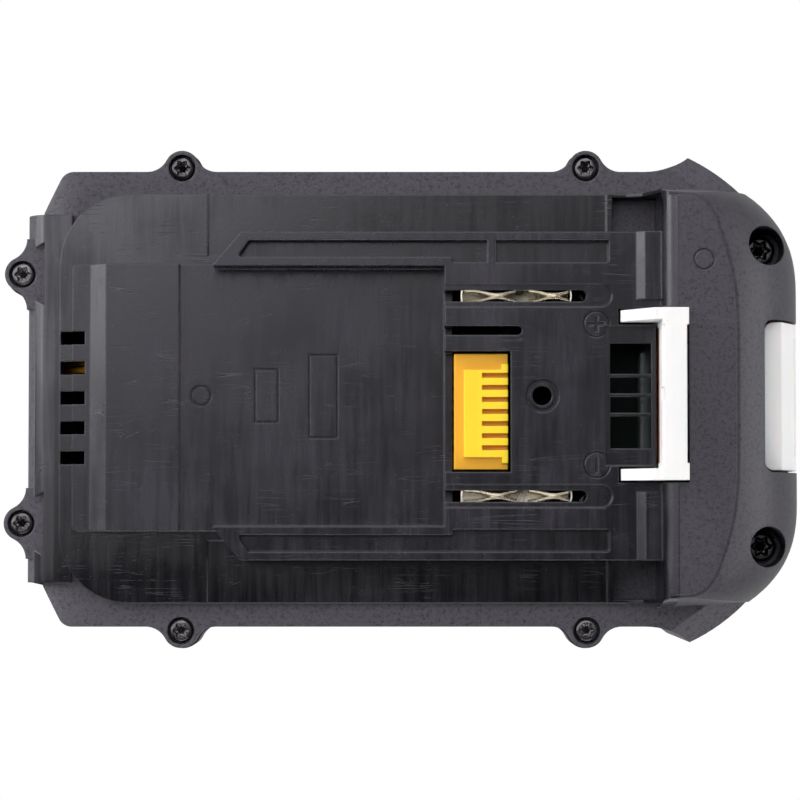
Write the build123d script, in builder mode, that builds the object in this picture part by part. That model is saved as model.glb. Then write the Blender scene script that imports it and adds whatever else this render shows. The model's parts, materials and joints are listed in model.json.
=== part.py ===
from build123d import *
import os
from math import hypot

# Slide-on battery pack for cordless tools: ten round cells in a two-part case.
# Millimetres. X runs from the rear wall to the nose, Y across, Z up.
# The origin lies on the ground under the middle of the pack.

# Cells, five columns of two, lying across the pack
cell_diameter = 21.15
cell_length = 70.15
cell_pitch = 21.8
cell_columns = 5
row_centre_x = -1.0

# Case walls and the room kept inside
wall = 2.0
roof = 2.0
floor_thickness = 2.0
pad_thickness = 0.8
frame_rim = 0.8
roof_gap = 0.6
rear_room = 5.27
front_room = 11.12
strip_thickness = 0.2
insulator_thickness = 0.4
side_gap = 0.285
cell_clearance = 0.13
overrun = 1.0
slide_clearance = 0.35
screw_clearance = 0.05
fit = 0.06

# Heights of the top of the case, each above the one before
skirt_height = 5.5
shoulder_rise = 2.4
recess_rise = 2.6
plate_rise = 1.0
rail_rise = 7.0
lip_thickness = 3.2
block_rise = 1.3
nose_rise = 5.5
platform_step = 0.6
hook_rise = 3.4
latch_travel = 5.5

# Plan sizes of the top of the case
bumper_half = 31.1
corner_setback = 2.67
corner_step = 0.6
corner_cut = 3.65
corner_round = 2.5
corner_fall = 2.2
corner_fall_run = 6.5
shoulder_half = 34.5
shoulder_inset = 5.87
shoulder_corner = 12.0
island_half = 22.4
recess_half = 21.6
neck_half = 24.0
rail_half = 27.2
deck_front_x = 7.4
rail_end_x = 35.2
neck_x = 43.2
notch_half = 12.65
notch_depth = 7.0
notch_round = 1.7
terminal_inset = 5.0

# Places that follow from the sizes above
terminal_y = recess_half - terminal_inset
cell_radius = cell_diameter / 2
frame_bottom = floor_thickness + pad_thickness
lower_axis = frame_bottom + frame_rim + cell_radius
upper_axis = lower_axis + cell_pitch
frame_top = upper_axis + cell_radius + frame_rim
flange_top = frame_top + roof_gap + roof
part_plane = flange_top - skirt_height
shoulder_top = flange_top + shoulder_rise
recess_top = shoulder_top + recess_rise
plate_top = recess_top + plate_rise
rail_top = recess_top + rail_rise
lip_bottom = rail_top - lip_thickness
block_top = rail_top + block_rise
nose_top = rail_top + nose_rise
nose_rim = nose_top - platform_step
frame_half = (cell_columns - 1) / 2 * cell_pitch + cell_radius + frame_rim
rear_x = row_centre_x - frame_half - rear_room - wall
nose_x = row_centre_x + frame_half + front_room + wall
strip_y = cell_length / 2
insulator_y = strip_y + strip_thickness + side_gap
half_width = insulator_y + insulator_thickness + side_gap * 2 + wall
corner_x = rear_x + corner_setback
corner_y = bumper_half + corner_step
shoulder_x = rear_x + shoulder_inset
notch_x = nose_x - notch_depth
clear_x = row_centre_x + frame_half + side_gap * 2
clear_y = half_width - wall
column_x = [row_centre_x + (i - (cell_columns - 1) / 2) * cell_pitch for i in range(cell_columns)]

# Screws in the rim and in the nose
ear_side_xs = (-37.0, 31.5)
ear_reach = 0.65
ear_blend = 3.7
ear_rear_y = 21.1
ear_rear_reach = 0.8
upper_lobe = 2.95
lower_lobe = 3.2
ear_drop = 9.5
rim_head_radius = 1.95
rim_head_height = 1.4
rim_recess_radius = 2.3
rim_recess_depth = 1.7
rim_shank_radius = 1.1
rim_shank_length = 9.0
nose_screw_x = 60.9
nose_screw_y = 25.0
well_radius = 3.4
well_wall = 1.2
nose_seat = 4.8
nose_head_radius = 2.5
nose_head_height = 1.9
nose_shank_radius = 1.4
nose_shank_length = 14.0
socket_radius_share = 0.42
socket_depth_share = 0.6


os.makedirs("parts", exist_ok=True)


def finish(piece, name):
    # Names a finished piece and writes it out
    piece.part.label = name
    export_step(piece.part, f"parts/{name}.step")


def block(x0, x1, y0, y1, z0, z1, mode=Mode.ADD):
    # A box between two corners
    with Locations(((x0 + x1) / 2, (y0 + y1) / 2, (z0 + z1) / 2)):
        Box(abs(x1 - x0), abs(y1 - y0), abs(z1 - z0), mode=mode)


def post(x, y, z0, z1, radius, mode=Mode.ADD):
    # An upright round between two heights
    with Locations((x, y, (z0 + z1) / 2)):
        Cylinder(radius, abs(z1 - z0), mode=mode)


def slab(points, z0, z1, mode=Mode.ADD, radius=0):
    # A plan outline raised between two heights, its corners rounded where a radius is given
    with BuildSketch(Plane.XY.offset(z0)) as plan:
        with BuildLine():
            Polyline(*points, close=True)
        make_face()
        if radius:
            fillet(plan.vertices(), radius)
    extrude(plan.sketch, amount=z1 - z0, mode=mode)


def ridge(points, y0, y1, mode=Mode.ADD):
    # A side outline, as X and Z, carried from y0 across to y1
    with BuildSketch(Plane.XZ.offset(-y1)) as side:
        with BuildLine():
            Polyline(*points, close=True)
        make_face()
    extrude(side.sketch, amount=y1 - y0, mode=mode)


def both_sides(points):
    # The outline on the +Y side and its mirror image
    return [points, [(x, -y) for x, y in points]]


def ear_outline(lobe, reach):
    # A round lobe whose centre stands reach beyond a wall along Y = 0, blended into the wall by hollow arcs
    run = ((ear_blend + lobe) ** 2 - (ear_blend - reach) ** 2) ** 0.5
    share = lobe / (lobe + ear_blend)
    touch = (run * share, reach + (ear_blend - reach) * share)
    middle = (touch[0] - run, touch[1] - ear_blend * 2)
    length = hypot(*middle)
    bend = (run + middle[0] / length * ear_blend, ear_blend + middle[1] / length * ear_blend)
    with BuildSketch() as ear:
        with BuildLine():
            Line((-run, -wall), (run, -wall))
            Line((run, -wall), (run, 0))
            ThreePointArc((run, 0), bend, touch)
            Line(touch, (-touch[0], touch[1]))
            ThreePointArc((-touch[0], touch[1]), (-bend[0], bend[1]), (-run, 0))
            Line((-run, 0), (-run, -wall))
        make_face()
        with Locations((0, reach)):
            Circle(lobe)
    return ear.sketch


def ears(lobe, z0, z1):
    # Two lobes on each side wall and two on the rear wall
    with BuildSketch(Plane.XY.offset(z0)) as lobes:
        for x in ear_side_xs:
            with Locations((x, half_width)):
                add(ear_outline(lobe, ear_reach))
            with Locations((x, -half_width)):
                add(ear_outline(lobe, ear_reach), rotation=180)
        for y in (ear_rear_y, -ear_rear_y):
            with Locations((rear_x, y)):
                add(ear_outline(lobe, ear_rear_reach), rotation=90)
    extrude(lobes.sketch, amount=z1 - z0)


ear_side_y = half_width + ear_reach
ear_rear_x = rear_x - ear_rear_reach
ear_places = [(x, y) for x in ear_side_xs for y in (ear_side_y, -ear_side_y)]
ear_places += [(ear_rear_x, ear_rear_y), (ear_rear_x, -ear_rear_y)]
nose_places = [(nose_screw_x, nose_screw_y), (nose_screw_x, -nose_screw_y)]

# Shape of the nose: plan points at its foot and at its rim, and how the slope bulges between them
nose_foot_insets = ((8.2, 4.2), (2.0, 11.0), (0.0, 20.5))
nose_crown_insets = ((19.5, 5.3), (14.4, 10.8), (11.4, 28.5))
nose_root_inset = 3.33
nose_crown_inset = 5.1
nose_round = 2.5
nose_foot = [(nose_x - a, half_width - b) for a, b in nose_foot_insets]
nose_crown = [(nose_x - a, half_width - b) for a, b in nose_crown_insets]
nose_root_y = half_width - nose_root_inset
nose_crown_y = half_width - nose_crown_inset
nose_steps_shares = ((0.0, 0.0), (0.35, 0.13), (0.7, 0.44), (1.0, 1.0))
inward_shares = ((0.0, 1.0), (0.7, 0.7), (1.0, 0.0))
foot_heading_share = -0.7
crown_heading_share = -0.15


def nose_plan(z, share, inset):
    # The nose outline at height z, share of the way from foot to rim, drawn inwards by inset
    places = []
    for (x0, y0), (x1, y1), (a, b) in zip(nose_foot, nose_crown, inward_shares):
        places.append((x0 + (x1 - x0) * share - inset * a, y0 + (y1 - y0) * share - inset * b))
    rear = neck_x + inset
    side = nose_root_y + (nose_crown_y - nose_root_y) * share - inset
    heading = foot_heading_share + (crown_heading_share - foot_heading_share) * share
    with BuildSketch(Plane.XY.offset(z)) as plan:
        with BuildLine():
            Line((rear, 0), (rear, side))
            Line((rear, side), places[0])
            Spline(*places, tangents=[(1, heading), (0, -1)])
            Line(places[2], (places[2][0], 0))
            mirror(about=Plane.XZ)
        make_face()
    return plan.sketch


def nose_body(low, high, inset):
    # The nose between two heights, bulging as the steps say
    sections = [nose_plan(low + (high - low) * level, share, inset) for level, share in nose_steps_shares]
    loft(sections=sections)


def rear_corners(plan):
    # The two corners where the slanting rear edges meet the sides
    return [plan.vertices().sort_by_distance((corner_x + corner_cut, y))[0] for y in (half_width, -half_width)]


def rim_plan(z, inset):
    # The case outline behind the nose, drawn inwards by inset
    points = [
        (corner_x, 0),
        (corner_x, corner_y),
        (corner_x + corner_cut, half_width),
        (neck_x, half_width),
        (neck_x, 0),
    ]
    with BuildSketch(Plane.XY.offset(z)) as plan:
        with BuildLine():
            Polyline(*points)
            mirror(about=Plane.XZ)
        make_face()
        if inset:
            offset(amount=-inset, kind=Kind.INTERSECTION)
        else:
            fillet(rear_corners(plan), corner_round)
    return plan.sketch


def shoulder_plan(z, x_end, inset):
    # The raised platform inside the rim, round at the rear corners
    with BuildSketch(Plane.XY.offset(z)) as plan:
        with BuildLine():
            Polyline(
                (x_end, -shoulder_half + inset),
                (x_end, shoulder_half - inset),
                (shoulder_x + inset, shoulder_half - inset),
                (shoulder_x + inset, -shoulder_half + inset),
                close=True,
            )
        make_face()
        fillet(plan.vertices().group_by(Axis.X)[0], shoulder_corner - inset)
    return plan.sketch


# Wings beside the nose
wing_setback = 25.6
wing_tip_setback = 17.9
wing_reach = 2.75
wing_start_x = nose_x - wing_setback
wing_tip = (nose_x - wing_tip_setback, half_width + wing_reach)
wing_bulge = 0.6
wing_slope_share = 0.9
wing_edge = 2.2
diagonal_inward_share = 1.25
corner_inward_shares = (0.86, 0.52, 0.57)
foot_run = nose_foot[0][0] - wing_tip[0]
foot_fall = wing_tip[1] - nose_foot[0][1]
foot_length = hypot(foot_run, foot_fall)


def tub_plan(z, inset):
    # The outline of the lower case with its wings, drawn inwards by inset
    deep = inset * diagonal_inward_share
    tip = (wing_tip[0], wing_tip[1] - deep)
    front = [(x - inset * a, y - inset * b) for (x, y), (a, b) in zip(nose_foot, inward_shares)]
    bulge_x = (tip[0] + front[0][0]) / 2 + wing_bulge * foot_fall / foot_length
    bulge_y = (tip[1] + front[0][1]) / 2 + wing_bulge * foot_run / foot_length
    with BuildSketch(Plane.XY.offset(z)) as plan:
        with BuildLine():
            Polyline(
                (rear_x + inset, 0),
                (rear_x + inset, bumper_half - inset * corner_inward_shares[1]),
                (corner_x + inset * corner_inward_shares[0], corner_y - inset * corner_inward_shares[1]),
                (corner_x + corner_cut + inset * corner_inward_shares[2], half_width - inset),
                (wing_start_x, half_width - inset),
            )
            TangentArc((wing_start_x, half_width - inset), tip, tangent=(1, 0))
            outer = ThreePointArc(tip, (bulge_x, bulge_y), front[0])
            Spline(*front, tangents=[outer % 1, (0, -1)])
            Line(front[2], (front[2][0], 0))
            mirror(about=Plane.XZ)
        make_face()
        if not inset:
            fillet(rear_corners(plan), corner_round)
    return plan.sketch


def wing_face(side, deep):
    # The plane of one wing's sloping face, sunk by deep
    slope = (foot_fall / foot_length * wing_slope_share, foot_run / foot_length * wing_slope_share * side, 1)
    return Plane(origin=(wing_tip[0], wing_tip[1] * side, part_plane + wing_edge - deep), z_dir=slope)


def front_wing(side):
    # One wing, level with the rim beside the nose and sloping off towards its outer edge
    low_y = nose_root_y - wall
    high_y = wing_tip[1] + overrun
    with BuildPart() as wing:
        with BuildSketch(Plane.XY.offset(part_plane)) as plan:
            add(tub_plan(0, 0))
            with Locations(((wing_start_x + nose_foot[0][0]) / 2, (low_y + high_y) / 2 * side)):
                Rectangle(nose_foot[0][0] - wing_start_x, high_y - low_y, mode=Mode.INTERSECT)
        extrude(plan.sketch, amount=skirt_height)
        split(bisect_by=wing_face(side, 0), keep=Keep.BOTTOM)
    return wing.part


# Rear bumper, vents and the stepped plate behind the recess
bumper_low = 3.6
bumper_run = 4.9
bumper_drop = 0.9
web_half = 5.3
web_end_x = rear_x + 3.1
web_touch_shares = (0.45, 0.89)
plate_x = -55.1
plate_slope_x = (-52.1, -49.3)
plate_low_drop = 2.3
plate_round = 0.8
recess_x = -37.0
shoulder_break_x = -32.4
shoulder_break = 0.5
vent_count = 5
vent_pitch = 5.04
vent_width = 2.2
vent_x = (-57.2, -53.0)

# Rails
rail_x = -26.3
rail_start_x = -31.1
neck_start_x = -29.1
groove_y = (23.0, 25.8)
groove_depth = 2.2
groove_x = (-27.0, 34.6)
groove_slant = 1.9
groove_round = 0.4
wide_groove_x = 8.6
wide_groove_y = 22.1
rib_x = (14.5, 15.9)
pocket_depth = 3.4
fin_y = 33.9
fin_x = (37.3, 40.8)
fin_rises = (1.4, 7.6)
bar_x = (34.8, 35.8)
bar_rise = 0.8

# Terminal block
deck_roof = 2.15
deck_front_wall = 1.4
slit_half = 0.95
slit_end_x = 29.9
dish_half = 1.9
dish_depth = 0.7
dish_end_x = 33.2
slit_sill = 0.6
key_slot_y = 10.8
key_slot_half = 0.75
key_slot_end_x = 19.4
socket_y = -2.6
socket_half = 10.0
socket_end_x = 18.3
hole_x = 23.5
hole_radius = 1.6
collar_radius = 2.8
collar_depth = 0.7
collar_ring = 0.5
collar_drop = 0.25
mark_x = 32.5
plus_y = 11.9
minus_y = -11.4
mark_radius = 2.25
mark_line = 0.28
mark_bar = 1.35
mark_depth = 0.3
window_x = (34.8, 41.6)
window_half = 8.7
window_bar_ys = (3.35, 0.1, -3.1)
window_bar_half = 0.3
frame_x = (33.9, 42.3)
frame_half_y = 11.6
frame_depth = 0.8
step_x = (39.15, 40.45)
block_inner = 15.9

# Latch opening, sized by the latch
hook_x = (42.7, 47.0)
hook_half = 14.05
arm_tip_x = 36.5
arm_width = 1.9
arm_half = 9.0
arm_level = (8.1, 11.1)
window_gap = 0.4

# Gauge on the rear wall
gauge_y = -3.0
gauge_level = 26.0
lens_half = 7.9
lens_height = 3.6
lens_lip = 0.9
lens_lip_thickness = 0.8
panel_half = 15.5
panel_height = 11.0
panel_depth = 0.5
knob_y = 10.2
knob_half = 3.3
knob_gap = 0.25
knob_lip = 0.9
knob_lip_thickness = 0.6
knob_proud = 0.3
knob_travel = 0.8

# Shallow moulding marks on the recess floor and the nose, as centre, half length and half width
mark_relief = 0.25
pin_mark_radius = 1.8
pin_marks = ((-33.4, 0.3, recess_top), (49.8, 22.2, nose_top))
floor_marks = ((-22.4, 0.3, 2.1, 4.6), (-12.9, 0.2, 2.5, 7.1))
mark_border = 0.35


def upper_cavity():
    # Everything hollow inside the upper case, less the screw wells and the wall behind the thumb notch
    with BuildPart() as hollow:
        low = part_plane - overrun
        extrude(rim_plan(low, wall), amount=flange_top - roof - low)
        extrude(shoulder_plan(low, bar_x[0] - wall, wall), amount=shoulder_top - roof - low)
        block(plate_x + wall, neck_x + wall, -island_half + wall, island_half - wall, low, recess_top - roof)
        block(deck_front_x + deck_front_wall, neck_x, -recess_half, recess_half, low, rail_top - deck_roof)
        block(neck_x - wall, neck_x + wall * 2, -recess_half, recess_half, low, flange_top)
        with BuildPart(mode=Mode.PRIVATE) as front_hollow:
            block(neck_x - wall * 2, clear_x, -clear_y, clear_y, low, flange_top - roof)
            for side in (1, -1):
                split(bisect_by=wing_face(side, wall / 2), keep=Keep.BOTTOM)
        add(front_hollow)
        extrude(nose_plan(low, 0, wall), amount=flange_top - low + wall)
        nose_body(flange_top, nose_rim - wall, wall)
        for x, y in nose_places:
            post(x, y, low, nose_top, well_radius + well_wall, mode=Mode.SUBTRACT)
        edge = notch_x - wall
        block(edge, nose_x, -notch_half - wall, notch_half + wall, low, nose_top, mode=Mode.SUBTRACT)
        thin = plate_slope_x[0] + wall
        lowered = plate_top - plate_low_drop - roof
        block(plate_x, thin, -island_half, island_half, lowered, nose_top, mode=Mode.SUBTRACT)
    return hollow.part


hollow_part = upper_cavity()

with BuildPart() as upper_case:
    # Rim, shoulder, bumper and ears
    extrude(rim_plan(part_plane, 0), amount=skirt_height)
    with BuildSketch(Plane.XZ.offset(-half_width)) as fall:
        with BuildLine():
            TangentArc(
                (corner_x + corner_fall_run, flange_top), (corner_x, flange_top - corner_fall), tangent=(-1, 0)
            )
            Line((corner_x, flange_top - corner_fall), (corner_x, flange_top))
            Line((corner_x, flange_top), (corner_x + corner_fall_run, flange_top))
        make_face()
    extrude(fall.sketch, amount=half_width * 2, mode=Mode.SUBTRACT)
    extrude(shoulder_plan(part_plane, neck_x + nose_round, 0), amount=shoulder_top - part_plane)
    bumper_top = shoulder_top - bumper_drop
    lowered = shoulder_top - shoulder_break
    with BuildSketch(Plane.XZ.offset(-bumper_half)) as bumper:
        with BuildLine():
            Line((shoulder_x + wall, part_plane), (rear_x, part_plane))
            Line((rear_x, part_plane), (rear_x, bumper_top - bumper_run))
            TangentArc((rear_x, bumper_top - bumper_run), (rear_x + bumper_run, bumper_top), tangent=(0, 1))
            Line((rear_x + bumper_run, bumper_top), (shoulder_x + wall, bumper_top))
            Line((shoulder_x + wall, bumper_top), (shoulder_x + wall, part_plane))
        make_face()
    extrude(bumper.sketch, amount=bumper_half * 2)
    for y in (ear_rear_y, -ear_rear_y):
        touch_x = ear_rear_x - upper_lobe * web_touch_shares[0]
        reach = upper_lobe * web_touch_shares[1]
        web = [(web_end_x, y + web_half), (touch_x, y + reach), (touch_x, y - reach), (web_end_x, y - web_half)]
        top = bumper_top + overrun
        slab(web, flange_top, top, mode=Mode.SUBTRACT)
        post(ear_rear_x, y, flange_top, top, upper_lobe, mode=Mode.SUBTRACT)
        slab(web, part_plane, flange_top)
    ears(upper_lobe, part_plane, flange_top)
    for lean in (1, -1):
        add(front_wing(lean))

    # Island with the stepped rear plate, the recess and the terminal block
    island = [
        (plate_x, shoulder_top),
        (plate_x, plate_top - plate_low_drop),
        (plate_slope_x[0], plate_top - plate_low_drop),
        (plate_slope_x[1], plate_top),
        (recess_x, plate_top),
        (recess_x, recess_top),
        (neck_x, recess_top),
        (neck_x, shoulder_top),
    ]
    ridge(island, -island_half, island_half)
    fillet(upper_case.edges().filter_by(Axis.Z).filter_by_position(Axis.X, plate_x - fit, plate_x + fit), plate_round)
    block(deck_front_x, neck_x + nose_round, -recess_half, recess_half, recess_top, rail_top)
    for outline in both_sides(
        [(rail_start_x, recess_half), (neck_start_x, neck_half), (rail_end_x, neck_half), (rail_end_x, recess_half)]
    ):
        slab(outline, shoulder_top, lip_bottom)
    for outline in both_sides(
        [(rail_start_x, recess_half), (rail_x, rail_half), (rail_end_x, rail_half), (rail_end_x, recess_half)]
    ):
        slab(outline, lip_bottom, rail_top)
    for side in (1, -1):
        inner = recess_half * side
        block(rail_end_x, neck_x + nose_round, inner, rail_half * side, shoulder_top, rail_top)
        near, far = sorted((block_inner * side, rail_half * side))
        rise = [
            (step_x[0], rail_top),
            (step_x[1], block_top),
            (neck_x + nose_round, block_top),
            (neck_x + nose_round, rail_top),
        ]
        ridge(rise, near, far)
        block(bar_x[0], bar_x[1], rail_half * side, shoulder_half * side, shoulder_top, shoulder_top + bar_rise)

    # Nose
    extrude(nose_plan(part_plane, 0, 0), amount=skirt_height)
    nose_body(flange_top, nose_rim, 0)
    extrude(nose_plan(nose_rim, 1, platform_step), amount=platform_step)
    bend = nose_top - nose_round
    with BuildSketch(Plane.XZ.offset(-nose_root_y)) as rear_edge:
        with BuildLine():
            TangentArc((neck_x, bend), (neck_x + nose_round, nose_top), tangent=(0, 1))
            Polyline(
                (neck_x + nose_round, nose_top),
                (neck_x + nose_round, nose_top + overrun),
                (neck_x - overrun, nose_top + overrun),
                (neck_x - overrun, bend),
                (neck_x, bend),
            )
        make_face()
    extrude(rear_edge.sketch, amount=nose_root_y * 2, mode=Mode.SUBTRACT)

    # Fins that run from the nose out along the shoulder
    fin = [
        (fin_x[0], lowered),
        (fin_x[1], shoulder_top + fin_rises[0]),
        (neck_x, shoulder_top + fin_rises[1]),
        (neck_x, lowered),
    ]
    ridge(fin, fin_y, shoulder_half)
    ridge(fin, -shoulder_half, -fin_y)

    # Hollow inside
    add(hollow_part, mode=Mode.SUBTRACT)

    # Lower half of the shoulder, pockets beside the block and the grooves in the rails
    for side in (1, -1):
        outer = shoulder_half * side
        block(shoulder_break_x, bar_x[0], rail_half * side, outer, lowered, shoulder_top, mode=Mode.SUBTRACT)
        under = (neck_half * side, rail_half * side)
        block(shoulder_break_x, rail_end_x, under[0], under[1], lowered, shoulder_top, mode=Mode.SUBTRACT)
        floor = shoulder_top - pocket_depth
        block(bar_x[1], neck_x, rail_half * side, fin_y * side, floor, shoulder_top, mode=Mode.SUBTRACT)
        base = rail_top - groove_depth
        groove = [
            (groove_x[0], groove_y[0] * side),
            (groove_x[0] + groove_slant, groove_y[1] * side),
            (groove_x[1], groove_y[1] * side),
            (groove_x[1], groove_y[0] * side),
        ]
        slab(groove, base, rail_top, mode=Mode.SUBTRACT, radius=groove_round)
        wide = (wide_groove_y * side, groove_y[1] * side)
        wide_groove = [(wide_groove_x, y) for y in wide] + [(groove_x[1], y) for y in reversed(wide)]
        slab(wide_groove, base, rail_top, mode=Mode.SUBTRACT, radius=groove_round)
    block(rib_x[0], rib_x[1], wide_groove_y, groove_y[1], rail_top - groove_depth, rail_top)

    # Vents through the rear edge of the shoulder
    for i in range(vent_count):
        y = (i - (vent_count - 1) / 2) * vent_pitch
        span = (y - vent_width / 2, y + vent_width / 2)
        block(vent_x[0], vent_x[1], span[0], span[1], part_plane, plate_top, mode=Mode.SUBTRACT)

    # Slits for the tool's blades, open towards the recess
    sill = recess_top + slit_sill
    top = rail_top + overrun
    for side in (1, -1):
        y = terminal_y * side
        block(deck_front_x, slit_end_x, y - slit_half, y + slit_half, sill, top, mode=Mode.SUBTRACT)
        post(slit_end_x, y, sill, top, slit_half, mode=Mode.SUBTRACT)
        block(deck_front_x, dish_end_x, y - dish_half, y + dish_half, rail_top - dish_depth, top, mode=Mode.SUBTRACT)
        post(dish_end_x, y, rail_top - dish_depth, top, dish_half, mode=Mode.SUBTRACT)
    low_y = key_slot_y - key_slot_half
    high_y = key_slot_y + key_slot_half
    block(deck_front_x, key_slot_end_x, low_y, high_y, sill, top, mode=Mode.SUBTRACT)
    post(key_slot_end_x, key_slot_y, sill, top, key_slot_half, mode=Mode.SUBTRACT)
    low_y = socket_y - socket_half
    high_y = socket_y + socket_half
    block(deck_front_x, socket_end_x, low_y, high_y, sill, top, mode=Mode.SUBTRACT)
    post(hole_x, 0, rail_top - collar_depth, top, collar_radius, mode=Mode.SUBTRACT)
    post(hole_x, 0, rail_top - collar_depth, rail_top - collar_drop, hole_radius + collar_ring)
    post(hole_x, 0, rail_top - deck_roof - overrun, top, hole_radius, mode=Mode.SUBTRACT)

    # Polarity marks, sunk rings round raised signs: plus on the +Y side, minus on the other
    cut = rail_top - mark_depth
    for y in (plus_y, minus_y):
        post(mark_x, y, cut, top, mark_radius, mode=Mode.SUBTRACT)
        post(mark_x, y, cut, rail_top, mark_radius - mark_line)
        block(mark_x - mark_line, mark_x + mark_line, y - mark_bar, y + mark_bar, cut, top, mode=Mode.SUBTRACT)
    low_y = plus_y - mark_line
    block(mark_x - mark_bar, mark_x + mark_bar, low_y, plus_y + mark_line, cut, top, mode=Mode.SUBTRACT)

    # Barred window between the latch arms
    block(frame_x[0], frame_x[1], -frame_half_y, frame_half_y, rail_top - frame_depth, top, mode=Mode.SUBTRACT)
    base = rail_top - deck_roof
    block(window_x[0], window_x[1], -window_half, window_half, base - overrun, top, mode=Mode.SUBTRACT)
    for y in window_bar_ys:
        block(window_x[0], window_x[1], y - window_bar_half, y + window_bar_half, base, rail_top - frame_depth)

    # Way for the latch, its arms and the thumb button
    gap = slide_clearance
    reach = hook_half + gap
    block(hook_x[0] - gap, hook_x[1] + gap, -reach, reach, part_plane, nose_top + overrun, mode=Mode.SUBTRACT)
    for side in (1, -1):
        span = sorted(((hook_half - arm_width - gap) * side, reach * side))
        slot_top = nose_top + overrun
        block(arm_tip_x - gap, hook_x[0], span[0], span[1], part_plane, slot_top, mode=Mode.SUBTRACT)
    front = nose_x + notch_round * 2
    notch = [(notch_x, -notch_half), (notch_x, notch_half), (front, notch_half), (front, -notch_half)]
    slab(notch, part_plane, nose_top + overrun, mode=Mode.SUBTRACT, radius=notch_round)
    arm_roof = part_plane + arm_level[1] + window_gap
    reach = arm_half + gap
    block(notch_x - wall - gap, notch_x, -reach, reach, part_plane, arm_roof, mode=Mode.SUBTRACT)

    # Screw seats
    for x, y in ear_places:
        post(x, y, flange_top - rim_recess_depth, flange_top, rim_recess_radius, mode=Mode.SUBTRACT)
        post(x, y, part_plane, flange_top, rim_shank_radius + screw_clearance, mode=Mode.SUBTRACT)
    for x, y in nose_places:
        post(x, y, part_plane + nose_seat, nose_top + overrun, well_radius, mode=Mode.SUBTRACT)
        post(x, y, part_plane, nose_top, nose_shank_radius + screw_clearance, mode=Mode.SUBTRACT)

    # Moulding marks
    for x, y, z in pin_marks:
        post(x, y, z - mark_relief, z, pin_mark_radius, mode=Mode.SUBTRACT)
        post(x, y, z - mark_relief, z, pin_mark_radius - mark_border)
    for x, y, a, b in floor_marks:
        z = recess_top
        block(x - a, x + a, y - b, y + b, z - mark_relief, z, mode=Mode.SUBTRACT)
        a -= mark_border
        b -= mark_border
        block(x - a, x + a, y - b, y + b, z - mark_relief, z)

finish(upper_case, "upper_case")
print("upper case", len(upper_case.part.solids()), round(upper_case.part.volume), upper_case.part.is_valid)

# Lower case: the tub, the pocket under the thumb notch and the gauge window
foot_round = 2.4
pocket_floor = 38.9
pocket_base = 2.0
shelf_depth = 3.9
shelf_level = 3.2
shelf_thickness = 2.2
peg_radius = 1.1
peg_height = 2.0
spring_y = 7.0
grip_x = (-33.0, 29.0)
grip_low = 9.0
grip_high = 34.0
grip_depth = 0.7
grip_ribs = 5
grip_rib = 2.0
grip_margin = 2.2
grip_end = 2.5
label_half = (33.0, 21.0)
label_depth = 0.4
board_rib_half = 17.4
board_rib_width = 1.6
board_rib_slot = 0.9
gauge_board_half = 16.4
gauge_board_x = (rear_x + 5.95, rear_x + 6.75)
gauge_board_z = (17.5, 34.5)


with BuildPart() as lower_case:
    extrude(tub_plan(0, 0), amount=part_plane)
    fillet(lower_case.edges().group_by(Axis.Z)[0], foot_round)
    extrude(tub_plan(floor_thickness, wall), amount=part_plane, mode=Mode.SUBTRACT)
    ears(lower_lobe, part_plane - ear_drop, part_plane)

    # Pocket for the thumb button, with the shelf that carries the latch springs
    inner = notch_x - wall
    half = notch_half + wall
    block(inner, nose_x - wall, -half, half, pocket_floor - pocket_base, part_plane)
    block(notch_x, nose_x + overrun, -notch_half, notch_half, pocket_floor, part_plane, mode=Mode.SUBTRACT)
    shelf_top = part_plane - shelf_level
    block(inner - shelf_depth, inner, -half, half, shelf_top - shelf_thickness, shelf_top)
    spring_x = inner - shelf_depth / 2
    for y in (spring_y, -spring_y):
        post(spring_x, y, shelf_top, shelf_top + peg_height, peg_radius)

    # Grip panels with raised ribs, and the plain field underneath
    for side in (1, -1):
        deep = (half_width - grip_depth) * side
        block(grip_x[0], grip_x[1], deep, (half_width + overrun) * side, grip_low, grip_high, mode=Mode.SUBTRACT)
        step = (grip_high - grip_low) / grip_ribs
        for i in range(grip_ribs):
            z = grip_low + step * (i + 1 / 2)
            ends = (grip_x[0] + grip_margin, grip_x[1] - grip_margin)
            block(ends[0], ends[1], deep, half_width * side, z - grip_rib / 2, z + grip_rib / 2)
    a, b = label_half
    block(-a, a, -b, b, 0, label_depth, mode=Mode.SUBTRACT)

    # Window and button hole of the gauge, and the ribs that hold its board
    z = gauge_level
    tall = panel_height / 2
    sunk = rear_x + panel_depth
    block(rear_x - overrun, sunk, -panel_half, panel_half, z - tall, z + tall, mode=Mode.SUBTRACT)
    lens_room = lens_half + fit
    lens_tall = lens_height / 2 + fit
    near = rear_x - overrun
    far = rear_x + wall
    block(near, far, gauge_y - lens_room, gauge_y + lens_room, z - lens_tall, z + lens_tall, mode=Mode.SUBTRACT)
    room = knob_half + knob_gap
    block(near, far, knob_y - room, knob_y + room, z - room, z + room, mode=Mode.SUBTRACT)
    for side in (1, -1):
        span = sorted(((board_rib_half - board_rib_width) * side, board_rib_half * side))
        block(far, gauge_board_x[1], span[0], span[1], floor_thickness, gauge_board_z[1])
    reach = gauge_board_half + fit
    low = gauge_board_z[0]
    block(gauge_board_x[0] - fit, gauge_board_x[1] + fit, -reach, reach, low, gauge_board_z[1] + fit, mode=Mode.SUBTRACT)

    # Pilot holes
    for x, y in ear_places:
        deep = part_plane - ear_drop
        post(x, y, deep + wall / 2, part_plane, rim_shank_radius + screw_clearance, mode=Mode.SUBTRACT)
    for x, y in nose_places:
        tower = part_plane - nose_shank_length
        post(x, y, floor_thickness, part_plane, nose_shank_radius + well_wall)
        post(x, y, tower, part_plane, nose_shank_radius + screw_clearance, mode=Mode.SUBTRACT)
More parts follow.
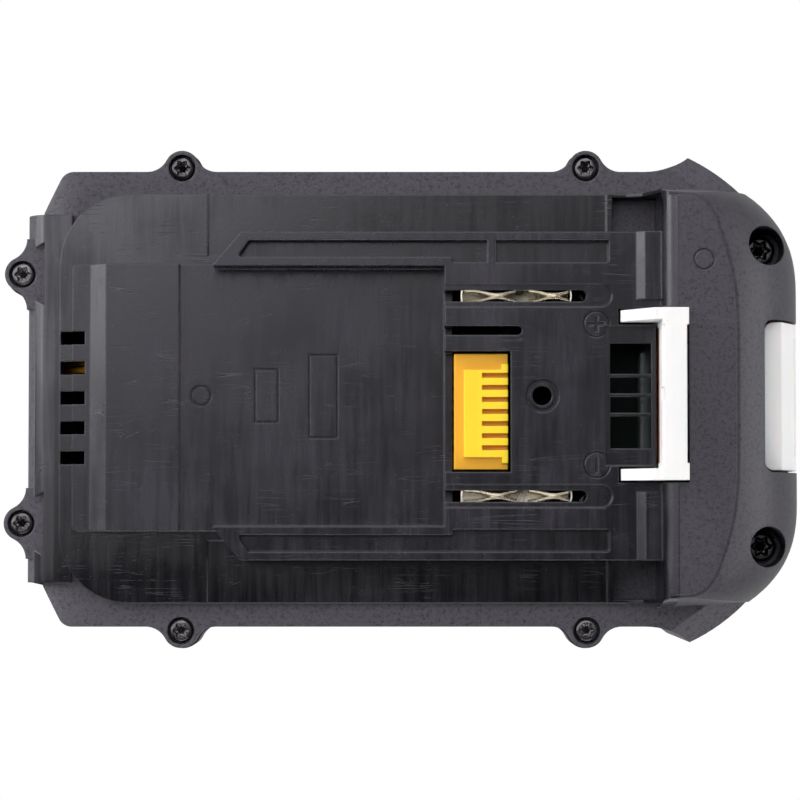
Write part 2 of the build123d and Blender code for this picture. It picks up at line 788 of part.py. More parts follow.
finish(lower_case, "lower_case")
print("lower case", len(lower_case.part.solids()), round(lower_case.part.volume), lower_case.part.is_valid)


def screws(places, seat, head_radius, head_height, shank_radius, shank_length):
    # Pan head screws with a six-lobed socket
    with BuildPart() as group:
        for x, y in places:
            post(x, y, seat - shank_length, seat, shank_radius)
            post(x, y, seat, seat + head_height, head_radius)
        crowns = group.edges().filter_by(GeomType.CIRCLE).group_by(Axis.Z)[-1]
        fillet(crowns, head_height / 2)
        for x, y in places:
            depth = head_height * socket_depth_share
            size = head_radius * socket_radius_share
            post(x, y, seat + head_height - depth, seat + head_height, size, mode=Mode.SUBTRACT)
            with Locations((x, y, seat + head_height - depth / 2)):
                with PolarLocations(size, 6):
                    Cylinder(size / 3, depth, mode=Mode.SUBTRACT)
    return group


rim_seat = flange_top - rim_recess_depth
rim_screws = screws(ear_places, rim_seat, rim_head_radius, rim_head_height, rim_shank_radius, rim_shank_length)
finish(rim_screws, "rim_screws")
well_seat = part_plane + nose_seat
nose_screws = screws(
    nose_places, well_seat, nose_head_radius, nose_head_height, nose_shank_radius, nose_shank_length
)
finish(nose_screws, "nose_screws")


# Release latch: hook bar with two ramped arms, a flat arm under the nose and the thumb button
hook_top = nose_top + hook_rise
hook_round = 0.5
hook_inset = 0.35
hook_corner_y = 11.3
hook_lip = 1.0
hook_lip_notch = 1.1
hook_foot = arm_level[0]
hook_plate = 2.6
arm_root_drop = 4.2
arm_tip_height = 0.9
ramp_start = 1.2
button_half = notch_half - slide_clearance
button_front_x = (nose_x - 0.4, nose_x - 3.7)
button_low = 0.4
button_high = 15.4
button_gap = 0.4
button_ribs = 4
button_rib = 0.8
button_rib_depth = 0.5
button_rib_pitch = 2.4
foot = part_plane + hook_foot
arm_top = part_plane + arm_level[1]

with BuildPart() as release_latch:
    block(hook_x[0], hook_x[1], -hook_half, hook_half, foot, hook_top)
    for y in (hook_lip_notch, -hook_corner_y):
        near, far = (y, y + hook_corner_y - hook_lip_notch)
        block(hook_x[0], hook_x[0] + hook_inset, near, far, hook_top - hook_lip, hook_top, mode=Mode.SUBTRACT)
    block(hook_x[0], hook_x[0] + hook_inset, -hook_lip_notch, hook_lip_notch, nose_top, hook_top, mode=Mode.SUBTRACT)
    near, far = (hook_x[1] - hook_inset, hook_x[1])
    block(near, far, -hook_corner_y, hook_corner_y, foot, hook_top, mode=Mode.SUBTRACT)
    ramp = [
        (hook_x[0] + hook_round, hook_top - hook_round),
        (hook_x[0] - ramp_start, hook_top - hook_round),
        (arm_tip_x, rail_top + arm_tip_height),
        (arm_tip_x, rail_top - arm_tip_height),
        (hook_x[0] + hook_round, nose_top - arm_root_drop - arm_root_drop),
    ]
    for side in (1, -1):
        near, far = sorted(((hook_half - arm_width) * side, hook_half * side))
        ridge(ramp, near, far)
    block(hook_x[0], notch_x + button_gap, -arm_half, arm_half, foot, arm_top)
    profile = [
        (notch_x + button_gap, part_plane + button_low),
        (button_front_x[0], part_plane + button_low),
        (button_front_x[0], part_plane + arm_level[0]),
        (button_front_x[1], part_plane + button_high),
        (notch_x + button_gap, part_plane + button_high),
    ]
    with BuildPart() as button:
        ridge(profile, -button_half, button_half)
        fillet(button.edges().filter_by(Axis.Z).group_by(Axis.X)[0], notch_round - slide_clearance / 2)
    add(button.part)
    for i in range(button_ribs):
        z = part_plane + button_rib_pitch * (i + 1 / 2)
        edge = button_front_x[0]
        wide = button_half - button_rib_pitch
        block(edge - button_rib_depth, edge, -wide, wide, z, z + button_rib, mode=Mode.SUBTRACT)
    for y in (spring_y, -spring_y):
        post(spring_x, y, foot - peg_height / 2, foot, peg_radius)
finish(release_latch, "release_latch")

# Two springs between the shelf and the latch
spring_radius = 1.9
spring_wire = 0.45
with BuildPart() as latch_springs:
    for y in (spring_y, -spring_y):
        post(spring_x, y, shelf_top, foot, spring_radius)
        post(spring_x, y, shelf_top, foot, spring_radius - spring_wire, mode=Mode.SUBTRACT)
finish(latch_springs, "latch_springs")

# Cells: a can with a neck groove and a raised positive cap
cap_radius = 5.6
cap_height = 0.5
groove_at = 4.5
groove_half = 0.8
groove_cut = 0.6
ring_outer = 8.6
ring_thickness = 0.3


def cell(x, z, facing):
    # One cell along Y, its positive cap towards +Y when facing is 1
    full = cell_length / 2
    shoulder = full - cap_height
    points = [
        (0, -full),
        (cell_radius, -full),
        (cell_radius, shoulder - groove_at - groove_half),
        (cell_radius - groove_cut, shoulder - groove_at),
        (cell_radius, shoulder - groove_at + groove_half),
        (cell_radius, shoulder),
        (cap_radius, shoulder),
        (cap_radius, full),
        (0, full),
    ]
    axis_plane = Plane(origin=(x, 0, z), x_dir=(1, 0, 0), z_dir=(0, 0, 1))
    with BuildPart() as can:
        with BuildSketch(axis_plane) as half:
            with BuildLine():
                Polyline(*[(r, y * facing) for r, y in points], close=True)
            make_face()
        revolve(axis=Axis((x, 0, z), (0, 1, 0)))
    return can


levels = (lower_axis, upper_axis)
facings = [1 if i % 2 == 0 else -1 for i in range(cell_columns)]
number = 0
for x, facing in zip(column_x, facings):
    for z in levels:
        number += 1
        finish(cell(x, z, facing), f"cell_{number:02d}")

with BuildPart() as cell_rings:
    for x, facing in zip(column_x, facings):
        near = (cell_length / 2 - cap_height) * facing
        far = near + ring_thickness * facing
        for z in levels:
            with BuildSketch(Plane.XZ.offset(-near)) as ring:
                with Locations((x, z)):
                    Circle(ring_outer)
                    Circle(cap_radius + fit, mode=Mode.SUBTRACT)
            extrude(ring.sketch, amount=near - far)
finish(cell_rings, "cell_rings")

# Frames that hold the cell ends, with posts for the circuit board
frame_depth = 11.975
frame_inner_y = strip_y - frame_depth
frame_corner = 6.0
board_half = 20.0
board_x = (-50.0, 40.0)
board_lift = 1.8
board_thickness = 1.6
board_bottom = frame_top + board_lift
board_top = board_bottom + board_thickness
post_xs = (column_x[0] + cell_pitch / 2, column_x[3] + cell_pitch / 2)
post_y = 17.4
post_radius = 2.4
post_depth = 4.0
tab_half = 3.0
tab_thickness = 0.75
tab_y = 14.6
board_screw_radius = 0.9
board_head_radius = 1.7
board_head_height = 1.1
board_screw_length = 7.0


def cell_frame(side):
    # A comb of bores round the cell ends on one side
    near = frame_inner_y * side
    far = (strip_y - side_gap / 2) * side
    with BuildPart() as frame:
        left = row_centre_x - frame_half
        right = row_centre_x + frame_half
        block(left, right, near, far, frame_bottom, frame_top)
        fillet(frame.edges().filter_by(Axis.Y), frame_corner)
        for x in column_x:
            for z in levels:
                with BuildSketch(Plane.XZ.offset(-max(near, far))) as bore:
                    with Locations((x, z)):
                        Circle(cell_radius + cell_clearance)
                extrude(bore.sketch, amount=abs(far - near), mode=Mode.SUBTRACT)
        for x in post_xs:
            block(x - tab_half, x + tab_half, tab_y * side, near, frame_top - tab_thickness, frame_top)
            post(x, post_y * side, frame_top - post_depth, board_bottom, post_radius)
            deep = board_top - board_screw_length
            post(x, post_y * side, deep, board_bottom, board_screw_radius + screw_clearance, mode=Mode.SUBTRACT)
    return frame


finish(cell_frame(1), "cell_frame_left")
finish(cell_frame(-1), "cell_frame_right")

# Foam strips under the frames
pad_width = 9.0
with BuildPart() as foam_pads:
    for side in (1, -1):
        y = (frame_inner_y + strip_y) / 2 * side
        left = row_centre_x - frame_half + frame_corner
        right = row_centre_x + frame_half - frame_corner
        block(left, right, y - pad_width / 2, y + pad_width / 2, floor_thickness, frame_bottom)
finish(foam_pads, "foam_pads")

# Nickel strips on the cell ends, each with a tab that folds over the frame and onto the circuit board
strip_half = 4.0
strip_reach = 5.0
sense_tab = 3.0
power_tab = 6.0
tab_gap = 0.1
fold_gap = 0.15
fold_length = 0.8
negative_tab_x = 36.0


def strip(first, last, side, tab_x, tab_width):
    # A strip over the columns from first to last
    with BuildPart() as nickel:
        near = strip_y * side
        far = (strip_y + strip_thickness) * side
        left = column_x[first] - strip_half
        right = column_x[last] + strip_half
        block(left, right, near, far, lower_axis - strip_reach, upper_axis + strip_reach)
        a = tab_x - tab_width / 2
        b = tab_x + tab_width / 2
        level = frame_top + tab_gap
        block(a, b, near, far, upper_axis, level + strip_thickness)
        edge = (board_half + fold_gap) * side
        outer = (board_half + fold_gap + strip_thickness) * side
        block(a, b, edge, far, level, level + strip_thickness)
        block(a, b, edge, outer, level, board_top + strip_thickness)
        block(a, b, (board_half - fold_length) * side, outer, board_top, board_top + strip_thickness)
    return nickel


finish(strip(0, 0, 1, column_x[0], power_tab), "positive_strip")
for i in range(cell_columns - 1):
    side = -facings[i]
    middle = (column_x[i] + column_x[i + 1]) / 2
    finish(strip(i, i + 1, side, middle + strip_half, sense_tab), f"series_link_{i + 1}")
finish(strip(cell_columns - 1, cell_columns - 1, -facings[-1], negative_tab_x, power_tab), "negative_strip")

# Insulating sheets outside the strips
sheet_margin = 1.2
for side, name in ((1, "side_insulator_left"), (-1, "side_insulator_right")):
    with BuildPart() as sheet:
        left = row_centre_x - frame_half + sheet_margin
        right = row_centre_x + frame_half - sheet_margin
        near = insulator_y * side
        far = (insulator_y + insulator_thickness) * side
        block(left, right, near, far, frame_bottom + sheet_margin, frame_top - sheet_margin)
    finish(sheet, name)

# Circuit board and its parts
board_corner = 2.0
with BuildPart() as circuit_board:
    block(board_x[0], board_x[1], -board_half, board_half, board_bottom, board_top)
    fillet(circuit_board.edges().filter_by(Axis.Z), board_corner)
    for x in post_xs:
        for y in (post_y, -post_y):
            post(x, y, board_bottom, board_top, board_screw_radius + screw_clearance, mode=Mode.SUBTRACT)
finish(circuit_board, "circuit_board")

board_places = [(x, y) for x in post_xs for y in (post_y, -post_y)]
board_screws = screws(
    board_places, board_top, board_head_radius, board_head_height, board_screw_radius, board_screw_length
)
finish(board_screws, "board_screws")


def chips(places, length, width, height):
    # Flat packages on the board
    with BuildPart() as group:
        for x, y in places:
            block(x - length / 2, x + length / 2, y - width / 2, y + width / 2, board_top, board_top + height)
    return group


transistor_xs = (-12.0, -4.0)
transistor_pitch = 6.0
transistor_rows = 4
transistor_size = (5.0, 4.6, 1.1)
control_places = ((-26.0, -4.0), (-27.0, 9.5))
control_size = (7.0, 7.0, 1.2)
shunt_x = -3.5
shunt_size = (6.4, 3.2, 0.9)
small_x = -44.0
small_pitch = 3.2
small_columns = 4
small_ys = (-12.0, -7.5, 12.0)
sense_x = -19.5
sense_ys = (-12.5, -9.0, -5.5, 5.5, 9.0, 12.5)
small_size = (1.6, 0.8, 0.8)
transistor_ys = [(i - (transistor_rows - 1) / 2) * transistor_pitch for i in range(transistor_rows)]
transistor_places = [(transistor_xs[0], y) for y in transistor_ys]
transistor_places += [(transistor_xs[1], y) for y in (transistor_ys[0], transistor_ys[-1])]
small_places = [(small_x + i * small_pitch, y) for i in range(small_columns) for y in small_ys]
small_places += [(sense_x, y) for y in sense_ys]
finish(chips(transistor_places, *transistor_size), "power_transistors")
finish(chips(control_places, *control_size), "control_chips")
finish(chips([(shunt_x, 0)], *shunt_size), "current_shunt")
finish(chips(small_places, *small_size), "small_parts")

# Tulip contacts of the two power terminals
contact_base_x = (10.2, 27.4)
contact_base_half = 2.4
contact_metal = 0.5
contact_leaves = ((10.2, 18.3), (20.0, 28.4))
contact_waist = 0.35
contact_waist_z = 8.2
contact_top = 10.2
contact_mouth = 0.62
contact_foot = 1.9
contact_bend_z = 2.5


def contact(side):
    # Two pairs of leaves that pinch a blade, standing on a plate
    with BuildPart() as spring_contact:
        y = terminal_y * side
        z = board_top
        low = contact_base_half
        block(contact_base_x[0], contact_leaves[1][1], y - low, y + low, z, z + contact_metal)
        for x0, x1 in contact_leaves:
            for lean in (1, -1):
                outline = [
                    (y + lean * contact_foot, z),
                    (y + lean * (contact_foot + contact_metal), z),
                    (y + lean * (contact_foot + contact_metal), z + contact_bend_z),
                    (y + lean * (contact_waist + contact_metal), z + contact_waist_z),
                    (y + lean * (contact_mouth + contact_metal / 2), z + contact_top),
                    (y + lean * contact_mouth, z + contact_top),
                    (y + lean * contact_waist, z + contact_waist_z),
                    (y + lean * contact_foot, z + contact_bend_z),
                ]
                with BuildSketch(Plane.YZ.offset(x0)) as leaf:
                    with BuildLine():
                        Polyline(*outline, close=True)
                    make_face()
                extrude(leaf.sketch, amount=x1 - x0)
    return spring_contact


finish(contact(1), "positive_terminal")
finish(contact(-1), "negative_terminal")

# Signal connector and its pins
plug_x = (9.0, 17.9)
plug_half = 9.6
plug_drop = 0.7
plug_slots = 7
plug_pitch = 2.0
plug_slot = 0.8
plug_slot_x = 13.6
plug_mouth = (2.4, 8.4)
pin_thickness = 0.3
pin_x = (14.6, 17.0)
pin_height = 7.6
plug_top = rail_top - plug_drop
slot_ys = [socket_y + (i - (plug_slots - 1) / 2) * plug_pitch for i in range(plug_slots)]
with BuildPart() as signal_connector:
    block(plug_x[0], plug_x[1], socket_y - plug_half, socket_y + plug_half, board_top, plug_top)
    for y in slot_ys:
        low = y - plug_slot / 2
        high = y + plug_slot / 2
        block(plug_slot_x, plug_x[1] + fit, low, high, board_top + plug_mouth[0], plug_top, mode=Mode.SUBTRACT)
        mouth = (board_top + plug_mouth[0], board_top + plug_mouth[1])
        block(plug_x[0], plug_slot_x, low, high, mouth[0], mouth[1], mode=Mode.SUBTRACT)
finish(signal_connector, "signal_connector")

with BuildPart() as signal_pins:
    for y in slot_ys:
        side = y + plug_slot / 2
        low = board_top + plug_mouth[0]
        block(pin_x[0], pin_x[1], side - pin_thickness, side, low, low + pin_height)
finish(signal_pins, "signal_pins")

# Temperature sensor on the middle cell
bead_radius = 0.95
bead_length = 4.0
bead_x = column_x[2]
bead_y = 6.0
bead_wire = 0.3
bead_spread = 1.1
cell_top = upper_axis + cell_radius
with BuildPart() as temperature_sensor:
    with Locations((bead_x, bead_y, cell_top + bead_radius)):
        Cylinder(bead_radius, bead_length, rotation=(90, 0, 0))
    for y in (bead_y - bead_spread, bead_y + bead_spread):
        post(bead_x, y, cell_top + bead_radius, board_bottom, bead_wire)
finish(temperature_sensor, "temperature_sensor")

# Charge gauge behind the rear wall
gauge_led = (1.6, 1.0, 0.8)
gauge_leds = 4
gauge_led_pitch = 4.0
switch_half = 2.6
switch_depth = 1.6
plunger_radius = 1.2
plunger_end = 0.05
lens_front = 0.1
with BuildPart() as gauge_board:
    half = gauge_board_half
    block(gauge_board_x[0], gauge_board_x[1], -half, half, gauge_board_z[0], gauge_board_z[1])
finish(gauge_board, "gauge_board")

with BuildPart() as gauge_lights:
    for i in range(gauge_leds):
        y = gauge_y + (i - (gauge_leds - 1) / 2) * gauge_led_pitch
        wide, tall, deep = gauge_led
        z = gauge_level
        face = gauge_board_x[0]
        block(face - deep, face, y - wide / 2, y + wide / 2, z - tall / 2, z + tall / 2)
finish(gauge_lights, "gauge_lights")

wall_face = rear_x + wall
with BuildPart() as gauge_lens:
    z = gauge_level
    tall = lens_height / 2
    front = rear_x + panel_depth - lens_front
    block(front, wall_face, gauge_y - lens_half, gauge_y + lens_half, z - tall, z + tall)
    wide = lens_half + lens_lip
    tall += lens_lip
    block(wall_face, wall_face + lens_lip_thickness, gauge_y - wide, gauge_y + wide, z - tall, z + tall)
finish(gauge_lens, "gauge_lens")

knob_lip_x = wall_face + fit
knob_inner = knob_lip_x + knob_lip_thickness
with BuildPart() as gauge_button:
    z = gauge_level
    front = rear_x + panel_depth - knob_proud
    block(front, knob_lip_x, knob_y - knob_half, knob_y + knob_half, z - knob_half, z + knob_half)
    fillet(gauge_button.edges().group_by(Axis.X)[0], knob_proud)
    wide = knob_half + knob_lip
    block(knob_lip_x, knob_inner, knob_y - wide, knob_y + wide, z - wide, z + wide)
finish(gauge_button, "gauge_button")

with BuildPart() as gauge_switch:
    z = gauge_level
    face = gauge_board_x[0]
    half = switch_half
    block(face - switch_depth, face, knob_y - half, knob_y + half, z - half, z + half)
    end = knob_inner + knob_travel + plunger_end
    middle = (end + face) / 2
    with Locations((middle, knob_y, z)):
        Cylinder(plunger_radius, face - end, rotation=(0, 90, 0))
finish(gauge_switch, "gauge_switch")

# Leads from the gauge up to the underside of the circuit board
lead_radius = 0.5
lead_pitch = 1.25
lead_y = 5.0
lead_count = 3
lead_bend = 4.5
lead_x = gauge_board_x[0] - lead_radius - fit / 2
lead_top = board_bottom - lead_radius - fit / 2
lead_route = ((lead_x, 31.0), (lead_x, 41.5), (-53.2, lead_top), (-46.0, lead_top))
with BuildPart() as gauge_leads:
    for i in range(lead_count):
        y = lead_y + (i - (lead_count - 1) / 2) * lead_pitch
        with BuildLine() as route:
            FilletPolyline(*[(x, y, z) for x, z in lead_route], radius=lead_bend)
        with BuildSketch(Plane(route.line @ 0, z_dir=route.line % 0)) as section:
            Circle(lead_radius)
        sweep(sections=section.sketch, path=route.line)
finish(gauge_leads, "gauge_leads")
print("all pieces written")
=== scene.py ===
import json
import math

import bmesh
import bpy
import numpy as np
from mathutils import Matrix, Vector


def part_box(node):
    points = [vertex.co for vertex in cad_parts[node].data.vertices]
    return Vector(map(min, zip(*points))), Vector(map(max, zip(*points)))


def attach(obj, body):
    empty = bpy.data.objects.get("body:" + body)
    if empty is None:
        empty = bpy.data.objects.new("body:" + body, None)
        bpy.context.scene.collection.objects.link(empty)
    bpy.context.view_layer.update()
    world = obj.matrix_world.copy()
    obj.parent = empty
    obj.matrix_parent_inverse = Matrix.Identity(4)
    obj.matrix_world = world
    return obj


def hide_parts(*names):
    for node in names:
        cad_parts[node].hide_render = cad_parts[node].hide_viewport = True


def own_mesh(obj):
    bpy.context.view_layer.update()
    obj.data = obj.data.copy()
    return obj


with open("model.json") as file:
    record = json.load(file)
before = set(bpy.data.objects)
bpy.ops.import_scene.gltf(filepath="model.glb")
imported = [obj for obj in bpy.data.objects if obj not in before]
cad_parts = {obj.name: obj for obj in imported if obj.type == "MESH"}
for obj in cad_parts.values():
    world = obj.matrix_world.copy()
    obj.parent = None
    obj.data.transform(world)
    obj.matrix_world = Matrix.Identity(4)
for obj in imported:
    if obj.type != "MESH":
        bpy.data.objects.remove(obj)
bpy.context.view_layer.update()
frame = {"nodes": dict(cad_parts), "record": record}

# Battery pack for cordless tools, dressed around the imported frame. Lengths are metres, and millimetres in the
# settings of the new pieces
nodes = frame["nodes"]
mm = 0.001
print("frame loaded:", len(nodes), "nodes")

# Levels that the finishes follow: the flat rim and the height above it that still counts as rim, the raised
# plate and deck, the parting line and the width of the painted shade above it, and where the nose begins
levels = {
    "rim": 49.95 * mm,
    "rimSlack": 0.12 * mm,
    "raised": 53.5 * mm,
    "parting": 44.1 * mm,
    "partingShadeWidth": 0.4 * mm,
    "neck": 45.7 * mm,
}
nodeSpacing = (180, -160)


def addNode(tree, kind, place, inputs=None, **settings):
    # One shader node: settings are its properties, inputs its socket values by name or number
    node = tree.nodes.new(kind)
    node.location = (place[0] * nodeSpacing[0], place[1] * nodeSpacing[1])
    for key, value in settings.items():
        setattr(node, key, value)
    for key, value in (inputs or {}).items():
        node.inputs[key].default_value = value
    return node


def wire(tree, source, target):
    # A link between two sockets, each given as (node, socket)
    tree.links.new(source[0].outputs[source[1]], target[0].inputs[target[1]])


def onObject(tree, place, *targets):
    # Object coordinates, wired to the first socket of each target
    where = addNode(tree, "ShaderNodeTexCoord", place)
    for node in targets:
        wire(tree, (where, "Object"), (node, 0))


def objectAxes(tree, place):
    # Object coordinates as separate x, y and z
    axes = addNode(tree, "ShaderNodeSeparateXYZ", (place[0] + 1, place[1]))
    onObject(tree, place, axes)
    return axes


def mathNode(tree, operation, place, first, second=None):
    # A Math node fed by sockets or numbers
    node = addNode(tree, "ShaderNodeMath", place, operation=operation)
    for i, value in enumerate((first, second)):
        if isinstance(value, tuple):
            wire(tree, value, (node, i))
        elif value is not None:
            node.inputs[i].default_value = value
    return (node, 0)


def rampNode(tree, place, source, stops):
    # A grey ramp over (position, value) stops
    node = addNode(tree, "ShaderNodeValToRGB", place)
    bar = node.color_ramp
    while len(bar.elements) < len(stops):
        bar.elements.new(0.5)
    for element, (position, value) in zip(bar.elements, stops):
        element.position = position
        element.color = (value, value, value, 1.0)
    wire(tree, source, (node, 0))
    return (node, 0)


def mixColour(tree, place, share, first, second):
    # A colour Mix node: first, then second by its share
    node = addNode(tree, "ShaderNodeMix", place, data_type="RGBA")
    for slot, value in ((0, share), (6, first), (7, second)):
        if isinstance(value, tuple) and isinstance(value[0], bpy.types.Node):
            wire(tree, value, (node, slot))
        else:
            node.inputs[slot].default_value = value
    return (node, 2)


def newGroup(name, inputs, outputs):
    # An empty shader group: inputs are (name, default) numbers or vectors, outputs (name, type)
    group = bpy.data.node_groups.new(name, "ShaderNodeTree")
    for label, value in inputs:
        kind = "NodeSocketVector" if isinstance(value, tuple) else "NodeSocketFloat"
        group.interface.new_socket(label, in_out="INPUT", socket_type=kind).default_value = value
    for label, kind in outputs:
        group.interface.new_socket(label, in_out="OUTPUT", socket_type=kind)
    entry = addNode(group, "NodeGroupInput", (-6, 0))
    leave = addNode(group, "NodeGroupOutput", (8, 0))
    return group, entry, leave


grainLook = {
    "scale": 5200.0,
    "pits": 0.5,
    "fine": {"Detail": 3.0, "Roughness": 0.55},
    "coarse": {"Detail": 2.0, "Roughness": 0.6},
    "coarseShare": 0.31,
    "pitShare": 0.55,
    "pitStops": [(0.0, 1.0), (0.45, 0.0)],
}


def grainGroup():
    # Spark-eroded mould texture as a height: two sizes of noise added up, less rounded pits
    look = grainLook
    sockets = [("Scale", look["scale"]), ("Pits", look["pits"])]
    group, entry, leave = newGroup("mouldGrain", sockets, [("Height", "NodeSocketFloat")])
    fine = addNode(group, "ShaderNodeTexNoise", (-3, 0), look["fine"])
    coarse = addNode(group, "ShaderNodeTexNoise", (-3, 2), look["coarse"])
    pits = addNode(group, "ShaderNodeTexVoronoi", (-3, 4), feature="SMOOTH_F1")
    onObject(group, (-5, 2), fine, coarse, pits)
    wire(group, (entry, "Scale"), (fine, "Scale"))
    for node, share, row in ((coarse, look["coarseShare"], 2), (pits, look["pitShare"], 4)):
        wire(group, mathNode(group, "MULTIPLY", (-4, row), (entry, "Scale"), share), (node, "Scale"))
    dips = rampNode(group, (-1, 4), (pits, "Distance"), look["pitStops"])
    height = mathNode(group, "ADD", (0, 0), (fine, 0), (coarse, 0))
    cut = mathNode(group, "MULTIPLY", (1, 4), dips, (entry, "Pits"))
    wire(group, mathNode(group, "SUBTRACT", (3, 0), height, cut), (leave, "Height"))
    return group


streakLook = {
    "stretch": (900.0, 60.0, 300.0),
    "lines": {"Scale": 1.0, "Detail": 5.0, "Roughness": 0.62, "Distortion": 0.3},
    "cloud": {"Scale": 75.0, "Detail": 3.0, "Roughness": 0.6},
    "stops": [(0.16, 0.0), (0.42, 1.0)],
}


def streakGroup():
    # Faint flow marks and smears: noise stretched along one axis, times a broad cloud
    look = streakLook
    sockets = [("Stretch", look["stretch"])]
    group, entry, leave = newGroup("flowStreaks", sockets, [("Value", "NodeSocketFloat")])
    scaled = addNode(group, "ShaderNodeVectorMath", (-4, 0), operation="MULTIPLY")
    lines = addNode(group, "ShaderNodeTexNoise", (-3, 0), look["lines"])
    cloud = addNode(group, "ShaderNodeTexNoise", (-3, 2), look["cloud"])
    onObject(group, (-5, 0), scaled, cloud)
    wire(group, (entry, "Stretch"), (scaled, 1))
    wire(group, (scaled, 0), (lines, "Vector"))
    both = mathNode(group, "MULTIPLY", (-1, 0), (lines, 0), (cloud, 0))
    wire(group, rampNode(group, (0, 0), both, look["stops"]), (leave, "Value"))
    return group


scratchLook = {
    "scale": 420.0,
    "density": 0.5,
    "turns": ((0.5, 0.06), (-0.85, 0.05), (1.35, 0.07)),
    "tilt": 0.15,
    "line": {"Detail": 1.0, "Distortion": 0.2},
    "lineStops": [(0.0, 1.0), (0.006, 0.0)],
    "cloud": {"Scale": 130.0, "Detail": 4.0, "Roughness": 0.7},
    "cloudStops": [(0.5, 0.0), (0.72, 1.0)],
}


def scratchGroup():
    # Thin handling scratches: turned and stretched noises cut to narrow bands, thinned out by a cloud
    look = scratchLook
    sockets = [("Scale", look["scale"]), ("Density", look["density"])]
    group, entry, leave = newGroup("fineScratches", sockets, [("Mask", "NodeSocketFloat")])
    cloud = addNode(group, "ShaderNodeTexNoise", (-3, 7), look["cloud"])
    turned, masks = [], []
    for i, (angle, tall) in enumerate(look["turns"]):
        stretch = {"Rotation": (0.0, look["tilt"], angle), "Scale": (tall, 1.0, 1.0)}
        turned.append(addNode(group, "ShaderNodeMapping", (-5, i * 2), stretch))
        noise = addNode(group, "ShaderNodeTexNoise", (-3, i * 2), look["line"])
        wire(group, (turned[i], 0), (noise, "Vector"))
        wire(group, (entry, "Scale"), (noise, "Scale"))
        centred = mathNode(group, "SUBTRACT", (-2, i * 2), (noise, 0), 0.5)
        away = mathNode(group, "ABSOLUTE", (-1, i * 2), centred)
        masks.append(rampNode(group, (0, i * 2), away, look["lineStops"]))
    onObject(group, (-6, 0), cloud, *turned)
    lines = masks[0]
    for i, mask in enumerate(masks[1:]):
        lines = mathNode(group, "MAXIMUM", (2 + i, 0), lines, mask)
    sparse = rampNode(group, (1, 7), (cloud, 0), look["cloudStops"])
    kept = mathNode(group, "MULTIPLY", (4, 0), lines, sparse)
    wire(group, mathNode(group, "MULTIPLY", (5, 0), kept, (entry, "Density")), (leave, "Mask"))
    return group


dustLook = {"scale": 900.0, "amount": 0.5, "stops": [(0.0, 1.0), (0.16, 0.0)], "left": 0.86}


def dustGroup():
    # Settled specks on faces that look up: small cells of a Voronoi pattern, most of them left out at random
    look = dustLook
    sockets = [("Scale", look["scale"]), ("Amount", look["amount"])]
    group, entry, leave = newGroup("dustSpecks", sockets, [("Mask", "NodeSocketFloat")])
    spots = addNode(group, "ShaderNodeTexVoronoi", (-3, 0), feature="F1")
    onObject(group, (-5, 0), spots)
    wire(group, (entry, "Scale"), (spots, "Scale"))
    near = rampNode(group, (-1, 0), (spots, "Distance"), look["stops"])
    pick = addNode(group, "ShaderNodeSeparateColor", (-1, 2))
    wire(group, (spots, "Color"), (pick, 0))
    chosen = mathNode(group, "GREATER_THAN", (1, 2), (pick, 0), look["left"])
    face = addNode(group, "ShaderNodeNewGeometry", (-3, 4))
    axes = addNode(group, "ShaderNodeSeparateXYZ", (-1, 4))
    wire(group, (face, "Normal"), (axes, 0))
    up = mathNode(group, "MAXIMUM", (1, 4), (axes, 2), 0.0)
    mask = mathNode(group, "MULTIPLY", (3, 0), mathNode(group, "MULTIPLY", (3, 2), near, chosen), up)
    wire(group, mathNode(group, "MULTIPLY", (5, 0), mask, (entry, "Amount")), (leave, "Mask"))
    return group


edgeLook = {
    "radius": 0.0003,
    "break": 0.6,
    "samples": 4,
    "turnStops": [(0.72, 1.0), (0.985, 0.0)],
    "patches": {"Scale": 700.0, "Detail": 4.0, "Roughness": 0.7},
    "patchStops": [(0.42, 0.0), (0.62, 1.0)],
}


def edgeGroup():
    # Moulded edges: a rounded normal, and a mask of where it leaves the face's own, broken up by noise
    look = edgeLook
    sockets = [("Radius", look["radius"]), ("Break", look["break"])]
    results = [("Normal", "NodeSocketVector"), ("Mask", "NodeSocketFloat")]
    group, entry, leave = newGroup("roundedEdges", sockets, results)
    bevel = addNode(group, "ShaderNodeBevel", (-4, 0), samples=look["samples"])
    wire(group, (entry, "Radius"), (bevel, "Radius"))
    face = addNode(group, "ShaderNodeNewGeometry", (-4, 2))
    dot = addNode(group, "ShaderNodeVectorMath", (-2, 0), operation="DOT_PRODUCT")
    wire(group, (bevel, 0), (dot, 0))
    wire(group, (face, "Normal"), (dot, 1))
    turn = rampNode(group, (0, 0), (dot, "Value"), look["turnStops"])
    noise = addNode(group, "ShaderNodeTexNoise", (-4, 4), look["patches"])
    onObject(group, (-6, 4), noise)
    # Share of the edge that shows: the patches times Break, plus all that Break leaves alone
    patch = rampNode(group, (-2, 4), (noise, 0), look["patchStops"])
    kept = mathNode(group, "MULTIPLY", (0, 4), patch, (entry, "Break"))
    share = mathNode(group, "ADD", (2, 4), kept, mathNode(group, "SUBTRACT", (1, 5), 1.0, (entry, "Break")))
    wire(group, mathNode(group, "MULTIPLY", (4, 0), turn, share), (leave, "Mask"))
    wire(group, (bevel, 0), (leave, "Normal"))
    return group


effects = {
    "grain": grainGroup(),
    "streaks": streakGroup(),
    "scratches": scratchGroup(),
    "dust": dustGroup(),
    "edges": edgeGroup(),
}
print("effects made:", len(effects))


def effect(tree, name, place, **inputs):
    # Places one of the shared effects in a material
    node = addNode(tree, "ShaderNodeGroup", place, node_tree=effects[name])
    for key, value in inputs.items():
        node.inputs[key.capitalize()].default_value = value
    return node


